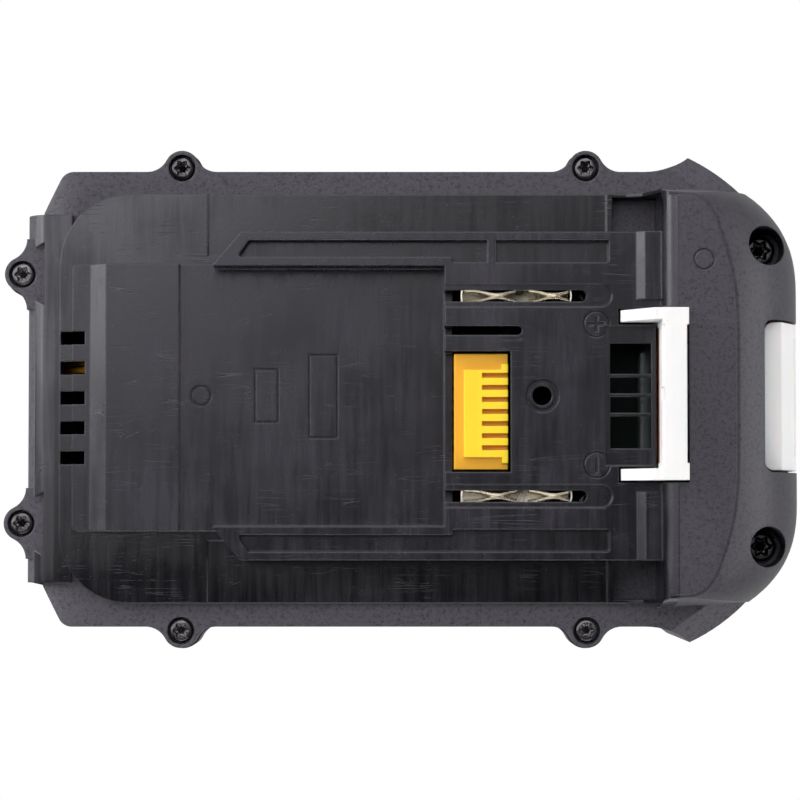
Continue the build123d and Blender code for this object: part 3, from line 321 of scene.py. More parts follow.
def startMaterial(name, **sockets):
    # A material with a Principled shader whose plain numbers stand on its own sockets
    material = bpy.data.materials.new(name)
    material.use_nodes = True
    tree = material.node_tree
    shader = tree.nodes["Principled BSDF"]
    shader.location = (1400, 0)
    for key, value in sockets.items():
        shader.inputs[key.replace("_", " ")].default_value = value
    return material, tree, shader


def bumped(tree, shader, height, depth, distance, normal):
    # A Bump node on the shader's normal
    bump = addNode(tree, "ShaderNodeBump", (6, 4), {"Strength": depth, "Distance": distance})
    wire(tree, height, (bump, "Height"))
    wire(tree, normal, (bump, "Normal"))
    wire(tree, (bump, 0), (shader, "Normal"))


casePlastic = {
    "gloss": (0.0028, 0.0025, 0.0040, 1.0),
    "satin": (0.0030, 0.0026, 0.0045, 1.0),
    "smear": (0.028, 0.0255, 0.036, 1.0),
    "grained": (0.016, 0.0148, 0.0185, 1.0),
    "grainedPale": (0.066, 0.061, 0.073, 1.0),
    # Paler colour on the edges: wear, and a painted highlight where rounded edges catch light
    "edgeWearAndHighlight": (0.12, 0.115, 0.13, 1.0),
    "dust": (0.16, 0.155, 0.165, 1.0),
    "specularTint": (0.97, 0.955, 1.0, 1.0),
    "grainScale": 4600.0,
    "grainStops": [(0.66, 0.0), (1.16, 1.0)],
    "pits": 0.22,
    "scratches": {"scale": 420.0, "density": 0.6},
    "scratchDepth": 0.25,
    "specks": {"scale": 1500.0, "amount": 0.5},
    "edge": 0.00035,
    "edgeBreak": 0.4,
    "edgeShare": 0.4,
    "smearShare": 0.6,
    "glossRoughness": 0.10,
    "satinRoughness": 0.17,
    "smearRoughness": 0.17,
    "grainRoughness": 0.50,
    "smoothGrain": 0.05,
    "bump": (0.7, 0.00008),
    "noseShare": 0.62,
    "lowerShare": 0.75,
}


def moulded(name, grainedZone):
    # Case plastic: glossy below the raised plate, satin and smeared above, grained in grainedZone(tree, x, z)
    look = casePlastic
    material, tree, shader = startMaterial(name, Specular_Tint=look["specularTint"])
    spot = objectAxes(tree, (-8, 0))
    zone = grainedZone(tree, (spot, 0), (spot, 2))
    raised = mathNode(tree, "GREATER_THAN", (-6, -1), (spot, 2), levels["raised"])
    grain = effect(tree, "grain", (-5, 6), scale=look["grainScale"], pits=look["pits"])
    streaks = effect(tree, "streaks", (-5, 8))
    scratches = effect(tree, "scratches", (-5, 10), **look["scratches"])
    dust = effect(tree, "dust", (-5, 12), **look["specks"])
    edges = effect(tree, "edges", (-5, 14), radius=look["edge"])
    edges.inputs["Break"].default_value = look["edgeBreak"]

    # Colour: bare or smeared plastic, mottled grain, worn edges with a painted highlight, scratches, dust, and
    # painted shade along the parting line
    bare = mixColour(tree, (-3, -1), raised, look["gloss"], look["satin"])
    smear = mathNode(tree, "MULTIPLY", (-4, 0), (streaks, 0), look["smearShare"])
    smear = mathNode(tree, "MULTIPLY", (-3, 0), smear, raised)
    smeared = mixColour(tree, (-2, 0), smear, bare, look["smear"])
    tall = rampNode(tree, (-3, 2), (grain, "Height"), look["grainStops"])
    mottled = mixColour(tree, (-2, 2), tall, look["grained"], look["grainedPale"])
    base = mixColour(tree, (-1, 0), zone, smeared, mottled)
    # Painted highlight with wear: the edges take the paler colour where the rounded normal turns
    lit = mathNode(tree, "MULTIPLY", (-1, 3), (edges, "Mask"), look["edgeShare"])
    wornAndHighlit = mixColour(tree, (0, 0), lit, base, look["edgeWearAndHighlight"])
    marked = mixColour(tree, (1, 0), (scratches, 0), wornAndHighlit, look["grainedPale"])
    specks = mixColour(tree, (2, 0), (dust, 0), marked, look["dust"])
    # Painted shade: a thin band just above the parting level takes the darkest gloss colour
    joint = mathNode(tree, "GREATER_THAN", (1, -2), (spot, 2), levels["parting"])
    seam = mathNode(tree, "LESS_THAN", (1, -3), (spot, 2), levels["parting"] + levels["partingShadeWidth"])
    shadow = mathNode(tree, "MULTIPLY", (2, -2), joint, seam)
    wire(tree, mixColour(tree, (3, 0), shadow, specks, look["gloss"]), (shader, "Base Color"))

    # Roughness: gloss or satin plus the smears, and one value in the grained zone
    span = {"To Min": look["glossRoughness"], "To Max": look["satinRoughness"]}
    smooth = addNode(tree, "ShaderNodeMapRange", (-4, 4), span)
    wire(tree, raised, (smooth, 0))
    varied = mathNode(tree, "MULTIPLY_ADD", (-3, 4), (streaks, 0), look["smearRoughness"])
    wire(tree, (smooth, 0), (varied[0], 2))
    gloss = addNode(tree, "ShaderNodeMix", (-2, 4), data_type="FLOAT")
    wire(tree, zone, (gloss, 0))
    wire(tree, varied, (gloss, 2))
    gloss.inputs[3].default_value = look["grainRoughness"]
    wire(tree, (gloss, 0), (shader, "Roughness"))

    # Height: the grain at full depth in its zone and faint elsewhere, less the scratches
    share = mathNode(tree, "MAXIMUM", (-1, 6), zone, look["smoothGrain"])
    faint = mathNode(tree, "MULTIPLY", (0, 6), (grain, 0), share)
    cut = mathNode(tree, "MULTIPLY", (0, 8), (scratches, 0), look["scratchDepth"])
    bumped(tree, shader, mathNode(tree, "SUBTRACT", (1, 6), faint, cut), *look["bump"], (edges, "Normal"))
    return material


def rimAndNose(tree, x, z):
    # The flat rim and the skirt below it, and everything forward of the neck above it
    rim = mathNode(tree, "LESS_THAN", (-6, 1), z, levels["rim"] + levels["rimSlack"])
    forward = mathNode(tree, "GREATER_THAN", (-6, 2), x, levels["neck"])
    above = mathNode(tree, "GREATER_THAN", (-6, 3), z, levels["rim"])
    nose = mathNode(tree, "MULTIPLY", (-5, 2), forward, above)
    nose = mathNode(tree, "MULTIPLY", (-4, 2), nose, casePlastic["noseShare"])
    return mathNode(tree, "MAXIMUM", (-4, 1), rim, nose)


def wholeShell(tree, x, z):
    # All of the lower case, which lies below the rim, a little less strongly than the rim
    whole = mathNode(tree, "LESS_THAN", (-6, 1), z, levels["raised"])
    return mathNode(tree, "MULTIPLY", (-5, 1), whole, casePlastic["lowerShare"])


plainLook = {
    "pits": 0.3,
    "scratches": {"scale": 900.0, "density": 0.7},
    "paleShares": (0.5, 0.5, 0.6),
    "roughnessSpread": 0.18,
    "bump": 0.00004,
}


def plain(
    name, colour, pale, roughness, metallic=0.0, grainScale=4200.0, depth=0.15, edge=0.00015, coat=0.0,
    specular=0.5, extra=None
):
    # A finish with grain, scratches, and worn edges that also carry a painted highlight, over one colour;
    # extra(tree, colour) may recolour it
    look = plainLook
    material, tree, shader = startMaterial(
        name, Metallic=metallic, Coat_Weight=coat, Specular_IOR_Level=specular
    )
    grain = effect(tree, "grain", (-5, 4), scale=grainScale, pits=look["pits"])
    streaks = effect(tree, "streaks", (-5, 6))
    scratches = effect(tree, "scratches", (-5, 8), **look["scratches"])
    edges = effect(tree, "edges", (-5, 10), radius=edge)
    # Streaks, worn edges with a painted highlight, and scratches in turn, each paler by its own share
    masks = ((streaks, 0), (edges, "Mask"), (scratches, 0))
    shade = colour
    for i, (mask, share) in enumerate(zip(masks, look["paleShares"])):
        shade = mixColour(tree, (i - 2, 0), mathNode(tree, "MULTIPLY", (-3, i), mask, share), shade, pale)
    if extra:
        shade = extra(tree, shade)
    wire(tree, shade, (shader, "Base Color"))
    span = {"To Min": roughness, "To Max": min(roughness + look["roughnessSpread"], 1.0)}
    rough = addNode(tree, "ShaderNodeMapRange", (-2, 4), span)
    wire(tree, (streaks, 0), (rough, 0))
    wire(tree, (rough, 0), (shader, "Roughness"))
    bumped(tree, shader, (grain, 0), depth, look["bump"], (edges, "Normal"))
    return material


# Painted shade for the connector's low parts: the heights it fades over, its share and its deeper orange
borderShadeLook = {"low": 0.0603, "high": 0.0611, "share": 0.8, "colour": (0.84, 0.31, 0.004, 1.0)}


def paintedShadeOrangeBelow(tree, colour):
    # Painted shade: the connector's border lies lower than its face, and everything below the face level takes
    # a deeper orange
    look = borderShadeLook
    spot = objectAxes(tree, (-2, -3))
    span = {"From Min": look["low"], "From Max": look["high"], "To Min": look["share"], "To Max": 0.0}
    fall = addNode(tree, "ShaderNodeMapRange", (0, -3), span)
    wire(tree, (spot, 2), (fall, 0))
    return mixColour(tree, (1, -1), (fall, 0), colour, look["colour"])


# Painted shade for the latch side: the facing it needs, its half width, its top and its dark amber
amberShadeLook = {"facing": -0.8, "half": 0.0112, "top": 0.0642, "colour": (0.16, 0.05, 0.018, 1.0)}


def paintedShadeAmberSide(tree, colour):
    # Painted shade: the side of the latch bar that faces the window, below a height, takes a dark amber cast,
    # the look of white plastic in shade
    look = amberShadeLook
    face = addNode(tree, "ShaderNodeNewGeometry", (-3, -3))
    turn = addNode(tree, "ShaderNodeSeparateXYZ", (-2, -3))
    wire(tree, (face, "Normal"), (turn, 0))
    spot = objectAxes(tree, (-3, -4))
    aside = mathNode(tree, "ABSOLUTE", (-1, -5), (spot, 1))
    facing = mathNode(tree, "LESS_THAN", (-1, -3), (turn, 0), look["facing"])
    inner = mathNode(tree, "LESS_THAN", (-1, -4), aside, look["half"])
    near = mathNode(tree, "LESS_THAN", (-1, -6), (spot, 2), look["top"])
    both = mathNode(tree, "MULTIPLY", (0, -3), mathNode(tree, "MULTIPLY", (0, -4), facing, inner), near)
    return mixColour(tree, (1, -1), both, colour, look["colour"])


finishes = {
    "upper": moulded("upperCasePlastic", rimAndNose),
    "lower": moulded("lowerCasePlastic", wholeShell),
    "latch_plastic": plain(
        "latchPlastic", (0.82, 0.82, 0.805, 1), (0.90, 0.90, 0.89, 1), 0.38, depth=0.1, edge=0.0003,
        extra=paintedShadeAmberSide
    ),
    "zinc_screw": plain("zincScrew", (0.075, 0.07, 0.075, 1), (0.30, 0.29, 0.29, 1), 0.2, metallic=1.0),
    "spring_steel": plain("springSteel", (0.5, 0.5, 0.5, 1), (0.7, 0.7, 0.7, 1), 0.25, metallic=1.0),
    "cell_wrap": plain("cellWrap", (0.002, 0.030, 0.024, 1), (0.005, 0.05, 0.042, 1), 0.3, coat=0.2),
    "ring_paper": plain("ringPaper", (0.75, 0.74, 0.70, 1), (0.85, 0.84, 0.8, 1), 0.8),
    "frame_plastic": plain("framePlastic", (0.02, 0.02, 0.022, 1), (0.05, 0.05, 0.055, 1), 0.45),
    "foam": plain(
        "foamRubber", (0.03, 0.03, 0.03, 1), (0.06, 0.06, 0.06, 1), 0.95, depth=0.8, grainScale=1800.0
    ),
    "nickel": plain("nickelStrip", (0.58, 0.55, 0.50, 1), (0.75, 0.72, 0.68, 1), 0.22, metallic=1.0),
    "insulator_paper": plain(
        "insulatorPaper", (0.10, 0.20, 0.15, 1), (0.16, 0.27, 0.21, 1), 0.7, depth=0.4
    ),
    # Painted shade: the board takes a far darker green than its own, for the shade behind the window
    "board_green": plain(
        "boardGreenShaded", (0.0004, 0.005, 0.003, 1), (0.0015, 0.012, 0.007, 1), 0.5, specular=0.1
    ),
    "chip_black": plain("chipBlack", (0.015, 0.015, 0.016, 1), (0.04, 0.04, 0.04, 1), 0.5),
    "chip_tan": plain("chipTan", (0.32, 0.22, 0.12, 1), (0.5, 0.4, 0.28, 1), 0.4),
    "contact_metal": plain(
        "contactMetal", (0.86, 0.80, 0.66, 1), (0.96, 0.93, 0.86, 1), 0.24, metallic=1.0, depth=0.2
    ),
    "connector_yellow": plain(
        "connectorYellow", (0.93, 0.66, 0.012, 1), (0.97, 0.74, 0.02, 1), 0.35, depth=0.12, extra=paintedShadeOrangeBelow
    ),
    "light_lens": plain("lightLens", (0.55, 0.58, 0.58, 1), (0.7, 0.72, 0.72, 1), 0.15, depth=0.05),
    "button_grey": plain("buttonGrey", (0.09, 0.09, 0.095, 1), (0.2, 0.2, 0.2, 1), 0.5),
    "lead_yellow": plain("leadYellow", (0.82, 0.45, 0.02, 1), (0.9, 0.6, 0.05, 1), 0.35),
}
print("finishes made:", len(finishes))

slotOf = {entry["node"]: entry["material_slot"] for entry in frame["record"]["subparts"]}
for name, piece in nodes.items():
    finish = finishes.get(slotOf[name])
    if name in ("upper_case", "lower_case"):
        finish = finishes[name.split("_")[0]]
    for place in piece.material_slots:
        place.material = finish

# Light that enters the pale plastics: weight, depth, and how far each colour of it travels
softPlastics = {
    "latch_plastic": {"Subsurface Weight": 0.35, "Subsurface Scale": 0.0012},
    "connector_yellow": {
        "Subsurface Weight": 0.35, "Subsurface Scale": 0.0012, "Subsurface Radius": (1.0, 0.45, 0.05)
    },
}
for name, sockets in softPlastics.items():
    shader = finishes[name].node_tree.nodes["Principled BSDF"]
    for key, value in sockets.items():
        shader.inputs[key].default_value = value
print("finishes assigned")


def boxShape(low, high):
    # A box between two corners. Every shape is its points and a list of face tables
    (a, b, c), (d, e, f) = low, high
    points = np.array([(x, y, z) for z in (c, f) for y in (b, e) for x in (a, d)])
    faces = [(0, 2, 3, 1), (4, 5, 7, 6), (0, 1, 5, 4), (2, 6, 7, 3), (0, 4, 6, 2), (1, 3, 7, 5)]
    return points, [np.array(faces)]


def gridFaces(rows, columns, start=0, closed=False):
    # Quads over a grid of rows by columns points, joined round its columns when closed
    i, j = np.meshgrid(np.arange(rows - 1), np.arange(columns if closed else columns - 1), indexing="ij")
    k = (j + 1) % columns
    quads = [i * columns + j, i * columns + k, (i + 1) * columns + k, (i + 1) * columns + j]
    return np.stack(quads, axis=-1).reshape(-1, 4) + start


def closedGrid(grid):
    # A shape from a grid of points, joined round its columns and capped at its first and last row
    rows, columns = grid.shape[:2]
    first = np.arange(columns)
    caps = np.stack([first, first + (rows - 1) * columns])
    return grid.reshape(-1, 3), [gridFaces(rows, columns, closed=True), caps]


def tubeShape(path, side, radius, count=10):
    # A round wire along path; side is a vector across it at every point
    along = np.gradient(path, axis=0)
    along /= np.linalg.norm(along, axis=1, keepdims=True)
    side = side - along * np.sum(side * along, axis=1, keepdims=True)
    side /= np.linalg.norm(side, axis=1, keepdims=True)
    up = np.cross(along, side)
    turn = np.linspace(0, 2 * np.pi, count, endpoint=False)[None, :, None]
    ring = np.cos(turn) * side[:, None, :] + np.sin(turn) * up[:, None, :]
    return closedGrid(path[:, None, :] + radius * ring)


def sheetShape(grid, thickness):
    # A curved sheet of even thickness round a grid of points
    across = np.cross(np.gradient(grid, axis=0), np.gradient(grid, axis=1))
    across *= thickness / 2 / np.linalg.norm(across, axis=2, keepdims=True)
    rows, columns = grid.shape[:2]
    half = rows * columns
    index = np.arange(half).reshape(rows, columns)
    rim = np.concatenate([index[0], index[1:, -1], index[-1, -2::-1], index[-2:0:-1, 0]])
    after = np.roll(rim, -1)
    wall = np.stack([rim, after, after + half, rim + half], axis=1)
    points = np.stack([grid + across, grid - across]).reshape(-1, 3)
    return points, [gridFaces(rows, columns), gridFaces(rows, columns, half), wall]


def latticeShape(xs, ys, zs, filled):
    # The skin of the filled cells of an uneven lattice
    full = np.pad(filled, 1)
    shape = (len(xs), len(ys), len(zs))
    corner = np.arange(np.prod(shape)).reshape(shape)
    faces = []
    for axis in range(3):
        edge = np.diff(full.astype(int), axis=axis)
        trim = [slice(1, -1)] * 3
        trim[axis] = slice(None)
        spots = np.argwhere(edge[tuple(trim)] != 0)
        first, second = [k for k in range(3) if k != axis]
        steps = np.zeros((4, 3), int)
        steps[1, first] = steps[2, first] = steps[2, second] = steps[3, second] = 1
        ring = spots[:, None, :] + steps[None, :, :]
        faces.append(corner[ring[..., 0], ring[..., 1], ring[..., 2]])
    places = np.stack(np.meshgrid(xs, ys, zs, indexing="ij"), axis=-1).reshape(-1, 3)
    used, faces = np.unique(np.concatenate(faces), return_inverse=True)
    return places[used], [faces.reshape(-1, 4)]


def joined(shapes):
    # Several shapes as one
    starts = np.cumsum([0] + [len(points) for points, tables in shapes])
    faces = [table + start for (points, tables), start in zip(shapes, starts) for table in tables]
    return np.concatenate([points for points, tables in shapes]), faces


creaseAngle = 40


def addPiece(name, shape, finish, stands, bevel=0.0):
    # A new piece with its normals outwards, its finish, its body and the node it stands for
    mesh = bpy.data.meshes.new(name)
    mesh.from_pydata((shape[0] * mm).tolist(), [], [face for table in shape[1] for face in table.tolist()])
    skin = bmesh.new()
    skin.from_mesh(mesh)
    bmesh.ops.recalc_face_normals(skin, faces=skin.faces)
    skin.to_mesh(mesh)
    skin.free()
    mesh.polygons.foreach_set("use_smooth", [True] * len(mesh.polygons))
    mesh.set_sharp_from_angle(angle=math.radians(creaseAngle))
    mesh.materials.append(finishes[finish])
    piece = bpy.data.objects.new(name, mesh)
    bpy.context.scene.collection.objects.link(piece)
    if bevel:
        edge = piece.modifiers.new("bevel", "BEVEL")
        edge.width = bevel * mm
        edge.segments = 2
        edge.limit_method = "ANGLE"
    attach(piece, "pack")
    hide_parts(stands)
    return piece


def nodeBox(name):
    # The corners of a CAD node in millimetres
    low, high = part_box(name)
    return np.array(low) / mm, np.array(high) / mm


def eased(share):
    # A smooth step from 0 to 1: three squares less two cubes
    share = np.clip(share, 0, 1)
    return share * share * (3 - 2 * share)


contactLook = {
    "pinches": (16.1, 25.5),
    "middle": (19.3, 21.3),
    "base": 0.5,
    "grid": (34, 26),
    "sheet": 0.3,
    "foot": 2.1,
    "waist": 0.08,
    "open": 0.68,
    "run": 2.6,
    "rise": (0.1, 0.62),
    "lip": 0.42,
    "lipStart": 0.93,
    "lipDrop": 0.25,
    "gaps": (0.2, 0.1),
    "endGrid": (15, 5),
    "endSheet": 0.24,
    "endBow": 0.42,
    "endHeight": 1.4,
    "endGap": 0.15,
    "endTaper": 0.3,
}


def addContacts():
    # Each terminal: a plate with two pairs of sprung leaves that pinch and open again, closed by bent ends
    look = contactLook
    for node, name in (("positive_terminal", "positiveLeaves"), ("negative_terminal", "negativeLeaves")):
        low, high = nodeBox(node)
        y = (low[1] + high[1]) / 2
        shapes = [boxShape(low, (high[0], high[1], low[2] + look["base"]))]
        ends = (low[0] + look["endBow"], high[0] - look["endBow"])
        spans = ((ends[0], look["middle"][0]), (look["middle"][1], ends[1]))
        for pinch, (x0, x1) in zip(look["pinches"], spans):
            rows, columns = look["grid"]
            u, v = np.meshgrid(np.linspace(x0, x1, rows), np.linspace(0, 1, columns), indexing="ij")
            # Opening: none at the pinch, then towards its full width as one less a bell curve of the distance
            wide = 1 - np.exp(-((u - pinch) / look["run"]) ** 2)
            waist = look["waist"] + look["open"] * wide
            rise = eased((v - look["rise"][0]) / look["rise"][1])
            flare = np.clip((v - look["lipStart"]) / (1 - look["lipStart"]), 0, 1)
            across = look["foot"] + (waist - look["foot"]) * rise + look["lip"] * flare
            height = high[2] - low[2] - sum(look["gaps"])
            tall = low[2] + look["gaps"][0] + height * v - look["lipDrop"] * flare ** 2
            for lean in (1, -1):
                shapes.append(sheetShape(np.stack([u, y + lean * across, tall], axis=-1), look["sheet"]))
        for x, way in ((ends[0], -1), (ends[1], 1)):
            rows, columns = look["endGrid"]
            turn, v = np.meshgrid(np.linspace(-1, 1, rows), np.linspace(0, 1, columns), indexing="ij")
            # Bent end: a half circle outwards, the root of one less the square of the turn
            bow = np.sqrt(np.maximum(1 - turn ** 2, 0.0))
            tall = high[2] - look["endGap"] - look["endHeight"] * v
            lean = (look["waist"] + look["open"] + look["lip"]) * (1 - look["endTaper"] * v)
            sheet = np.stack([x + way * look["endBow"] * bow, y + lean * turn, tall], axis=-1)
            shapes.append(sheetShape(sheet, look["endSheet"]))
        addPiece(name, joined(shapes), "contact_metal", node)


screwLook = {
    "columns": 72,
    "socket": 0.6,
    "lobes": 6,
    "lobe": 0.16,
    "deep": 0.8,
    "cone": 1.7,
    "socketRows": (
        (0.55, 1.05), (0.9, 1.0), (0.97, 0.94), (1.0, 0.4), (1.0, 0.12), (1.02, 0.04), (1.05, 0.0)
    ),
    "crown": 0.3,
    "crownRows": 8,
    "crownStart": 0.98,
    "threadRows": 64,
    "pitch": 1.1,
    "thread": 0.16,
    "runIn": 8,
    "tip": 1.5,
    "point": 0.02,
}
screwSets = {
    "rimScrewSet": {
        "stands": "rim_screws", "radius": 1.95, "height": 1.4, "shank": 1.1, "length": 9.0,
        "places": (
            (-37.0, 39.18), (31.5, 39.18), (-37.0, -39.18), (31.5, -39.18), (-64.045, 21.1), (-64.045, -21.1)
        ),
    },
    "noseScrewSet": {
        "stands": "nose_screws", "radius": 2.5, "height": 1.9, "shank": 1.4, "length": 14.0,
        "places": ((60.9, 25.0), (60.9, -25.0)),
    },
}


def screwShape(x, y, top, sizes):
    # A screw turned round its axis: lobed socket, crowned head, threaded shank and point
    look = screwLook
    radius, height, shank, length = (sizes[key] for key in ("radius", "height", "shank", "length"))
    turn = np.linspace(0, 2 * np.pi, look["columns"], endpoint=False)[None, :]
    # Socket radius: a circle with lobes, one plus a share of the cosine of the turn times their number
    socket = radius * look["socket"] * (1 + look["lobe"] * np.cos(look["lobes"] * turn))
    flat = np.ones_like(turn)
    deep = look["deep"] * height
    rows = [(look["point"] * flat, top - deep * look["cone"])]
    rows += [(socket * wide, top - deep * down) for wide, down in look["socketRows"]]
    for k in np.linspace(0, 1, look["crownRows"]):
        # Crown: a quarter circle from the socket out to the rim
        arc = k * np.pi / 2
        rim = radius * (1 - look["crown"] * (1 - np.sin(arc))) * (1 if k else look["crownStart"])
        rows.append((rim * flat, top - look["crown"] * height * (1 - np.cos(arc))))
    rows += [(radius * flat, top - height), (shank * flat, top - height)]
    head = np.stack([np.stack([wide[0], np.full(look["columns"], z)], axis=-1) for wide, z in rows])
    # Thread: a wave of the depth over the pitch plus the turn, run in from the head and tapered at the tip
    down = np.linspace(0, 1, look["threadRows"])[:, None]
    wave = 0.5 + 0.5 * np.cos(2 * np.pi * down * length / look["pitch"] + turn)
    taper = np.clip((1 - down) * length / (shank * look["tip"]), look["point"], 1)
    ridge = shank * (1 - look["thread"] * (1 - wave ** 2) * np.clip(down * look["runIn"], 0, 1)) * taper
    thread = np.stack([ridge, np.broadcast_to(top - height - length * down, ridge.shape)], axis=-1)
    wide, tall = np.moveaxis(np.concatenate([head, thread]), -1, 0)
    return closedGrid(np.stack([x + wide * np.cos(turn), y + wide * np.sin(turn), tall], axis=-1))


def addScrews():
    # The case screws: six in the ears and two in the nose wells
    for name, sizes in screwSets.items():
        top = nodeBox(sizes["stands"])[1][2]
        shapes = [screwShape(x, y, top, sizes) for x, y in sizes["places"]]
        addPiece(name, joined(shapes), "zinc_screw", sizes["stands"])


springLook = {"turns": 6.5, "thick": 0.26, "perTurn": 26, "flat": 0.12}


def addSprings():
    # Two coil springs; the height rises evenly with the turn, with a flat turn at each end
    look = springLook
    low, high = nodeBox("latch_springs")
    middle = (low[0] + high[0]) / 2
    width = (high[0] - low[0]) / 2
    thick = look["thick"]
    t = np.linspace(0, 1, int(look["turns"] * look["perTurn"]))
    turn = 2 * np.pi * look["turns"] * t
    rise = np.clip((t - look["flat"]) / (1 - 2 * look["flat"]), 0, 1)
    level = low[2] + thick + (high[2] - low[2] - 2 * thick) * rise
    side = np.stack([np.cos(turn), np.sin(turn), np.zeros_like(t)], axis=1)
    shapes = []
    for y in (low[1] + width, high[1] - width):
        path = np.array([middle, y, 0.0]) + side * (width - thick)
        path[:, 2] = level
        shapes.append(tubeShape(path, side, thick))
    piece = addPiece("coilSprings", joined(shapes), "spring_steel", "latch_springs")
    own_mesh(piece)


foamLook = {
    "width": 9.0,
    "grid": (60, 28),
    "powers": (0.35, 0.6),
    "swell": 0.03,
    "waves": 5,
    "endSlope": 8,
    "endShare": 0.86,
}


def addFoam():
    # Two foam strips, crowned a little along their length where the frames press them
    look = foamLook
    low, high = nodeBox("foam_pads")
    middle, half = (low + high) / 2, (high - low) / 2
    rows, columns = look["grid"]
    angles = np.linspace(0, 2 * np.pi, columns, endpoint=False)
    u, turn = np.meshgrid(np.linspace(0, 1, rows), angles, indexing="ij")
    # Section: a rounded bar, the cosine and sine each raised to a low power with their sign kept
    waves = zip((np.cos(turn), np.sin(turn)), look["powers"])
    a, b = (np.sign(wave) * np.abs(wave) ** power for wave, power in waves)
    swell = 1 - look["swell"] * (0.5 + 0.5 * np.cos(2 * np.pi * look["waves"] * u))
    ends = np.minimum(1, look["endSlope"] * np.minimum(u, 1 - u) + look["endShare"])
    x = low[0] + 2 * half[0] * u
    z = middle[2] + half[2] * b * ends
    shapes = []
    for side in (1, -1):
        y = (high[1] - look["width"] / 2) * side + look["width"] / 2 * a * swell * ends
        shapes.append(closedGrid(np.stack([x, y, z], axis=-1)))
    piece = addPiece("foamStrips", joined(shapes), "foam", "foam_pads")


connectorLook = {
    "step": 0.8,
    "faceX": 10.6,
    "slotX": 13.6,
    "tabX": 16.85,
    "floor": 2.4,
    "mouthTop": 6.6,
    "slotFloor": 9.25,
    "faceY": (-10.2, 4.3),
    "tab": 1.0,
    "slot": 0.8,
    "pitch": 2.0,
    "count": 7,
    "middle": -2.6,
    "bevel": 0.1,
}
bladeLook = {"grid": (9, 16), "narrowFrom": 0.8, "narrowShare": 0.35, "mouthGap": 0.3, "sheet": 0.3}


def slotPlaces():
    # The y of each slot, evenly spaced about the middle one
    look = connectorLook
    return look["middle"] + (np.arange(look["count"]) - (look["count"] - 1) / 2) * look["pitch"]


def addBlades():
    # Seven contact blades in the connector's mouths, each narrowing by a square law at its tip
    look = bladeLook
    low, high = nodeBox("signal_pins")
    base = nodeBox("signal_connector")[0][2]
    rows, columns = look["grid"]
    u, v = np.meshgrid(np.linspace(-1, 1, rows), np.linspace(0, 1, columns), indexing="ij")
    tip = np.clip((v - look["narrowFrom"]) / (1 - look["narrowFrom"]), 0, 1)
    half = (high[0] - low[0]) / 2 * (1 - look["narrowShare"] * tip ** 2)
    x = (low[0] + high[0]) / 2 + u * half
    z = low[2] + (base + connectorLook["mouthTop"] - look["mouthGap"] - low[2]) * v
    sheets = [np.stack([x, np.full_like(x, slot), z], axis=-1) for slot in slotPlaces()]
    shapes = [sheetShape(sheet, look["sheet"]) for sheet in sheets]
    addPiece("signalBlades", joined(shapes), "contact_metal", "signal_pins")


def addConnector():
    # The signal connector: a raised face in a lower border, seven slots with mouths in front, two end tabs
    look = connectorLook
    low, high = nodeBox("signal_connector")
    slots = slotPlaces()
    faceLow, faceHigh = look["faceY"]
    tabLow, tabHigh = faceLow - look["tab"], faceHigh + look["tab"]
    edges = np.concatenate([slots - look["slot"] / 2, slots + look["slot"] / 2])
    floor, mouthTop, slotFloor = (low[2] + look[key] for key in ("floor", "mouthTop", "slotFloor"))
    border = high[2] - look["step"]
    xs = np.array([low[0], look["faceX"], look["slotX"], look["tabX"], high[0]])
    ys = np.sort(np.concatenate([edges, [low[1], high[1], faceLow, faceHigh, tabLow, tabHigh]]))
    zs = np.array([low[2], floor, mouthTop, slotFloor, border, high[2]])
    x, y, z = np.meshgrid(*((line[1:] + line[:-1]) / 2 for line in (xs, ys, zs)), indexing="ij")
    inSlot = np.min(np.abs(y[..., None] - slots), axis=-1) < look["slot"] / 2
    face = (y > faceLow) & (y < faceHigh) & (x > look["faceX"])
    tab = (y > tabLow) & (y < tabHigh) & (x > look["tabX"])
    hollow = inSlot & (((x > look["slotX"]) & (z > slotFloor)) | ((z > floor) & (z < mouthTop)))
    shape = latticeShape(xs, ys, zs, ((z < border) | face | tab) & ~hollow)
    addPiece("signalConnectorBody", shape, "connector_yellow", "signal_connector", bevel=look["bevel"])


addContacts()
addScrews()
addSprings()
addFoam()
addBlades()
addConnector()
print("new pieces made")

view = {
    "distance": 0.512,
    "aim": (0.0, -0.00024, 0.050),
    "lean": 0.0405,
    "focalPixels": 3025.0,
    "framePixels": 800.0,
    "sensor": 36.0,
    "clip": 0.01,
}


def photographView():
    # The camera straight above, leaning a little towards the near side
    lean = math.atan(view["lean"])
    x, y, z = view["aim"]
    data = bpy.data.cameras.new("photographView")
    data.sensor_width = view["sensor"]
    data.lens = view["sensor"] * view["focalPixels"] / view["framePixels"]
    data.clip_start = view["clip"]
    camera = bpy.data.objects.new("photographView", data)
    camera.location = (x, y - view["distance"] * math.sin(lean), z + view["distance"] * math.cos(lean))
    camera.rotation_euler = (lean, 0.0, 0.0)
    bpy.context.scene.collection.objects.link(camera)
    bpy.context.scene.camera = camera


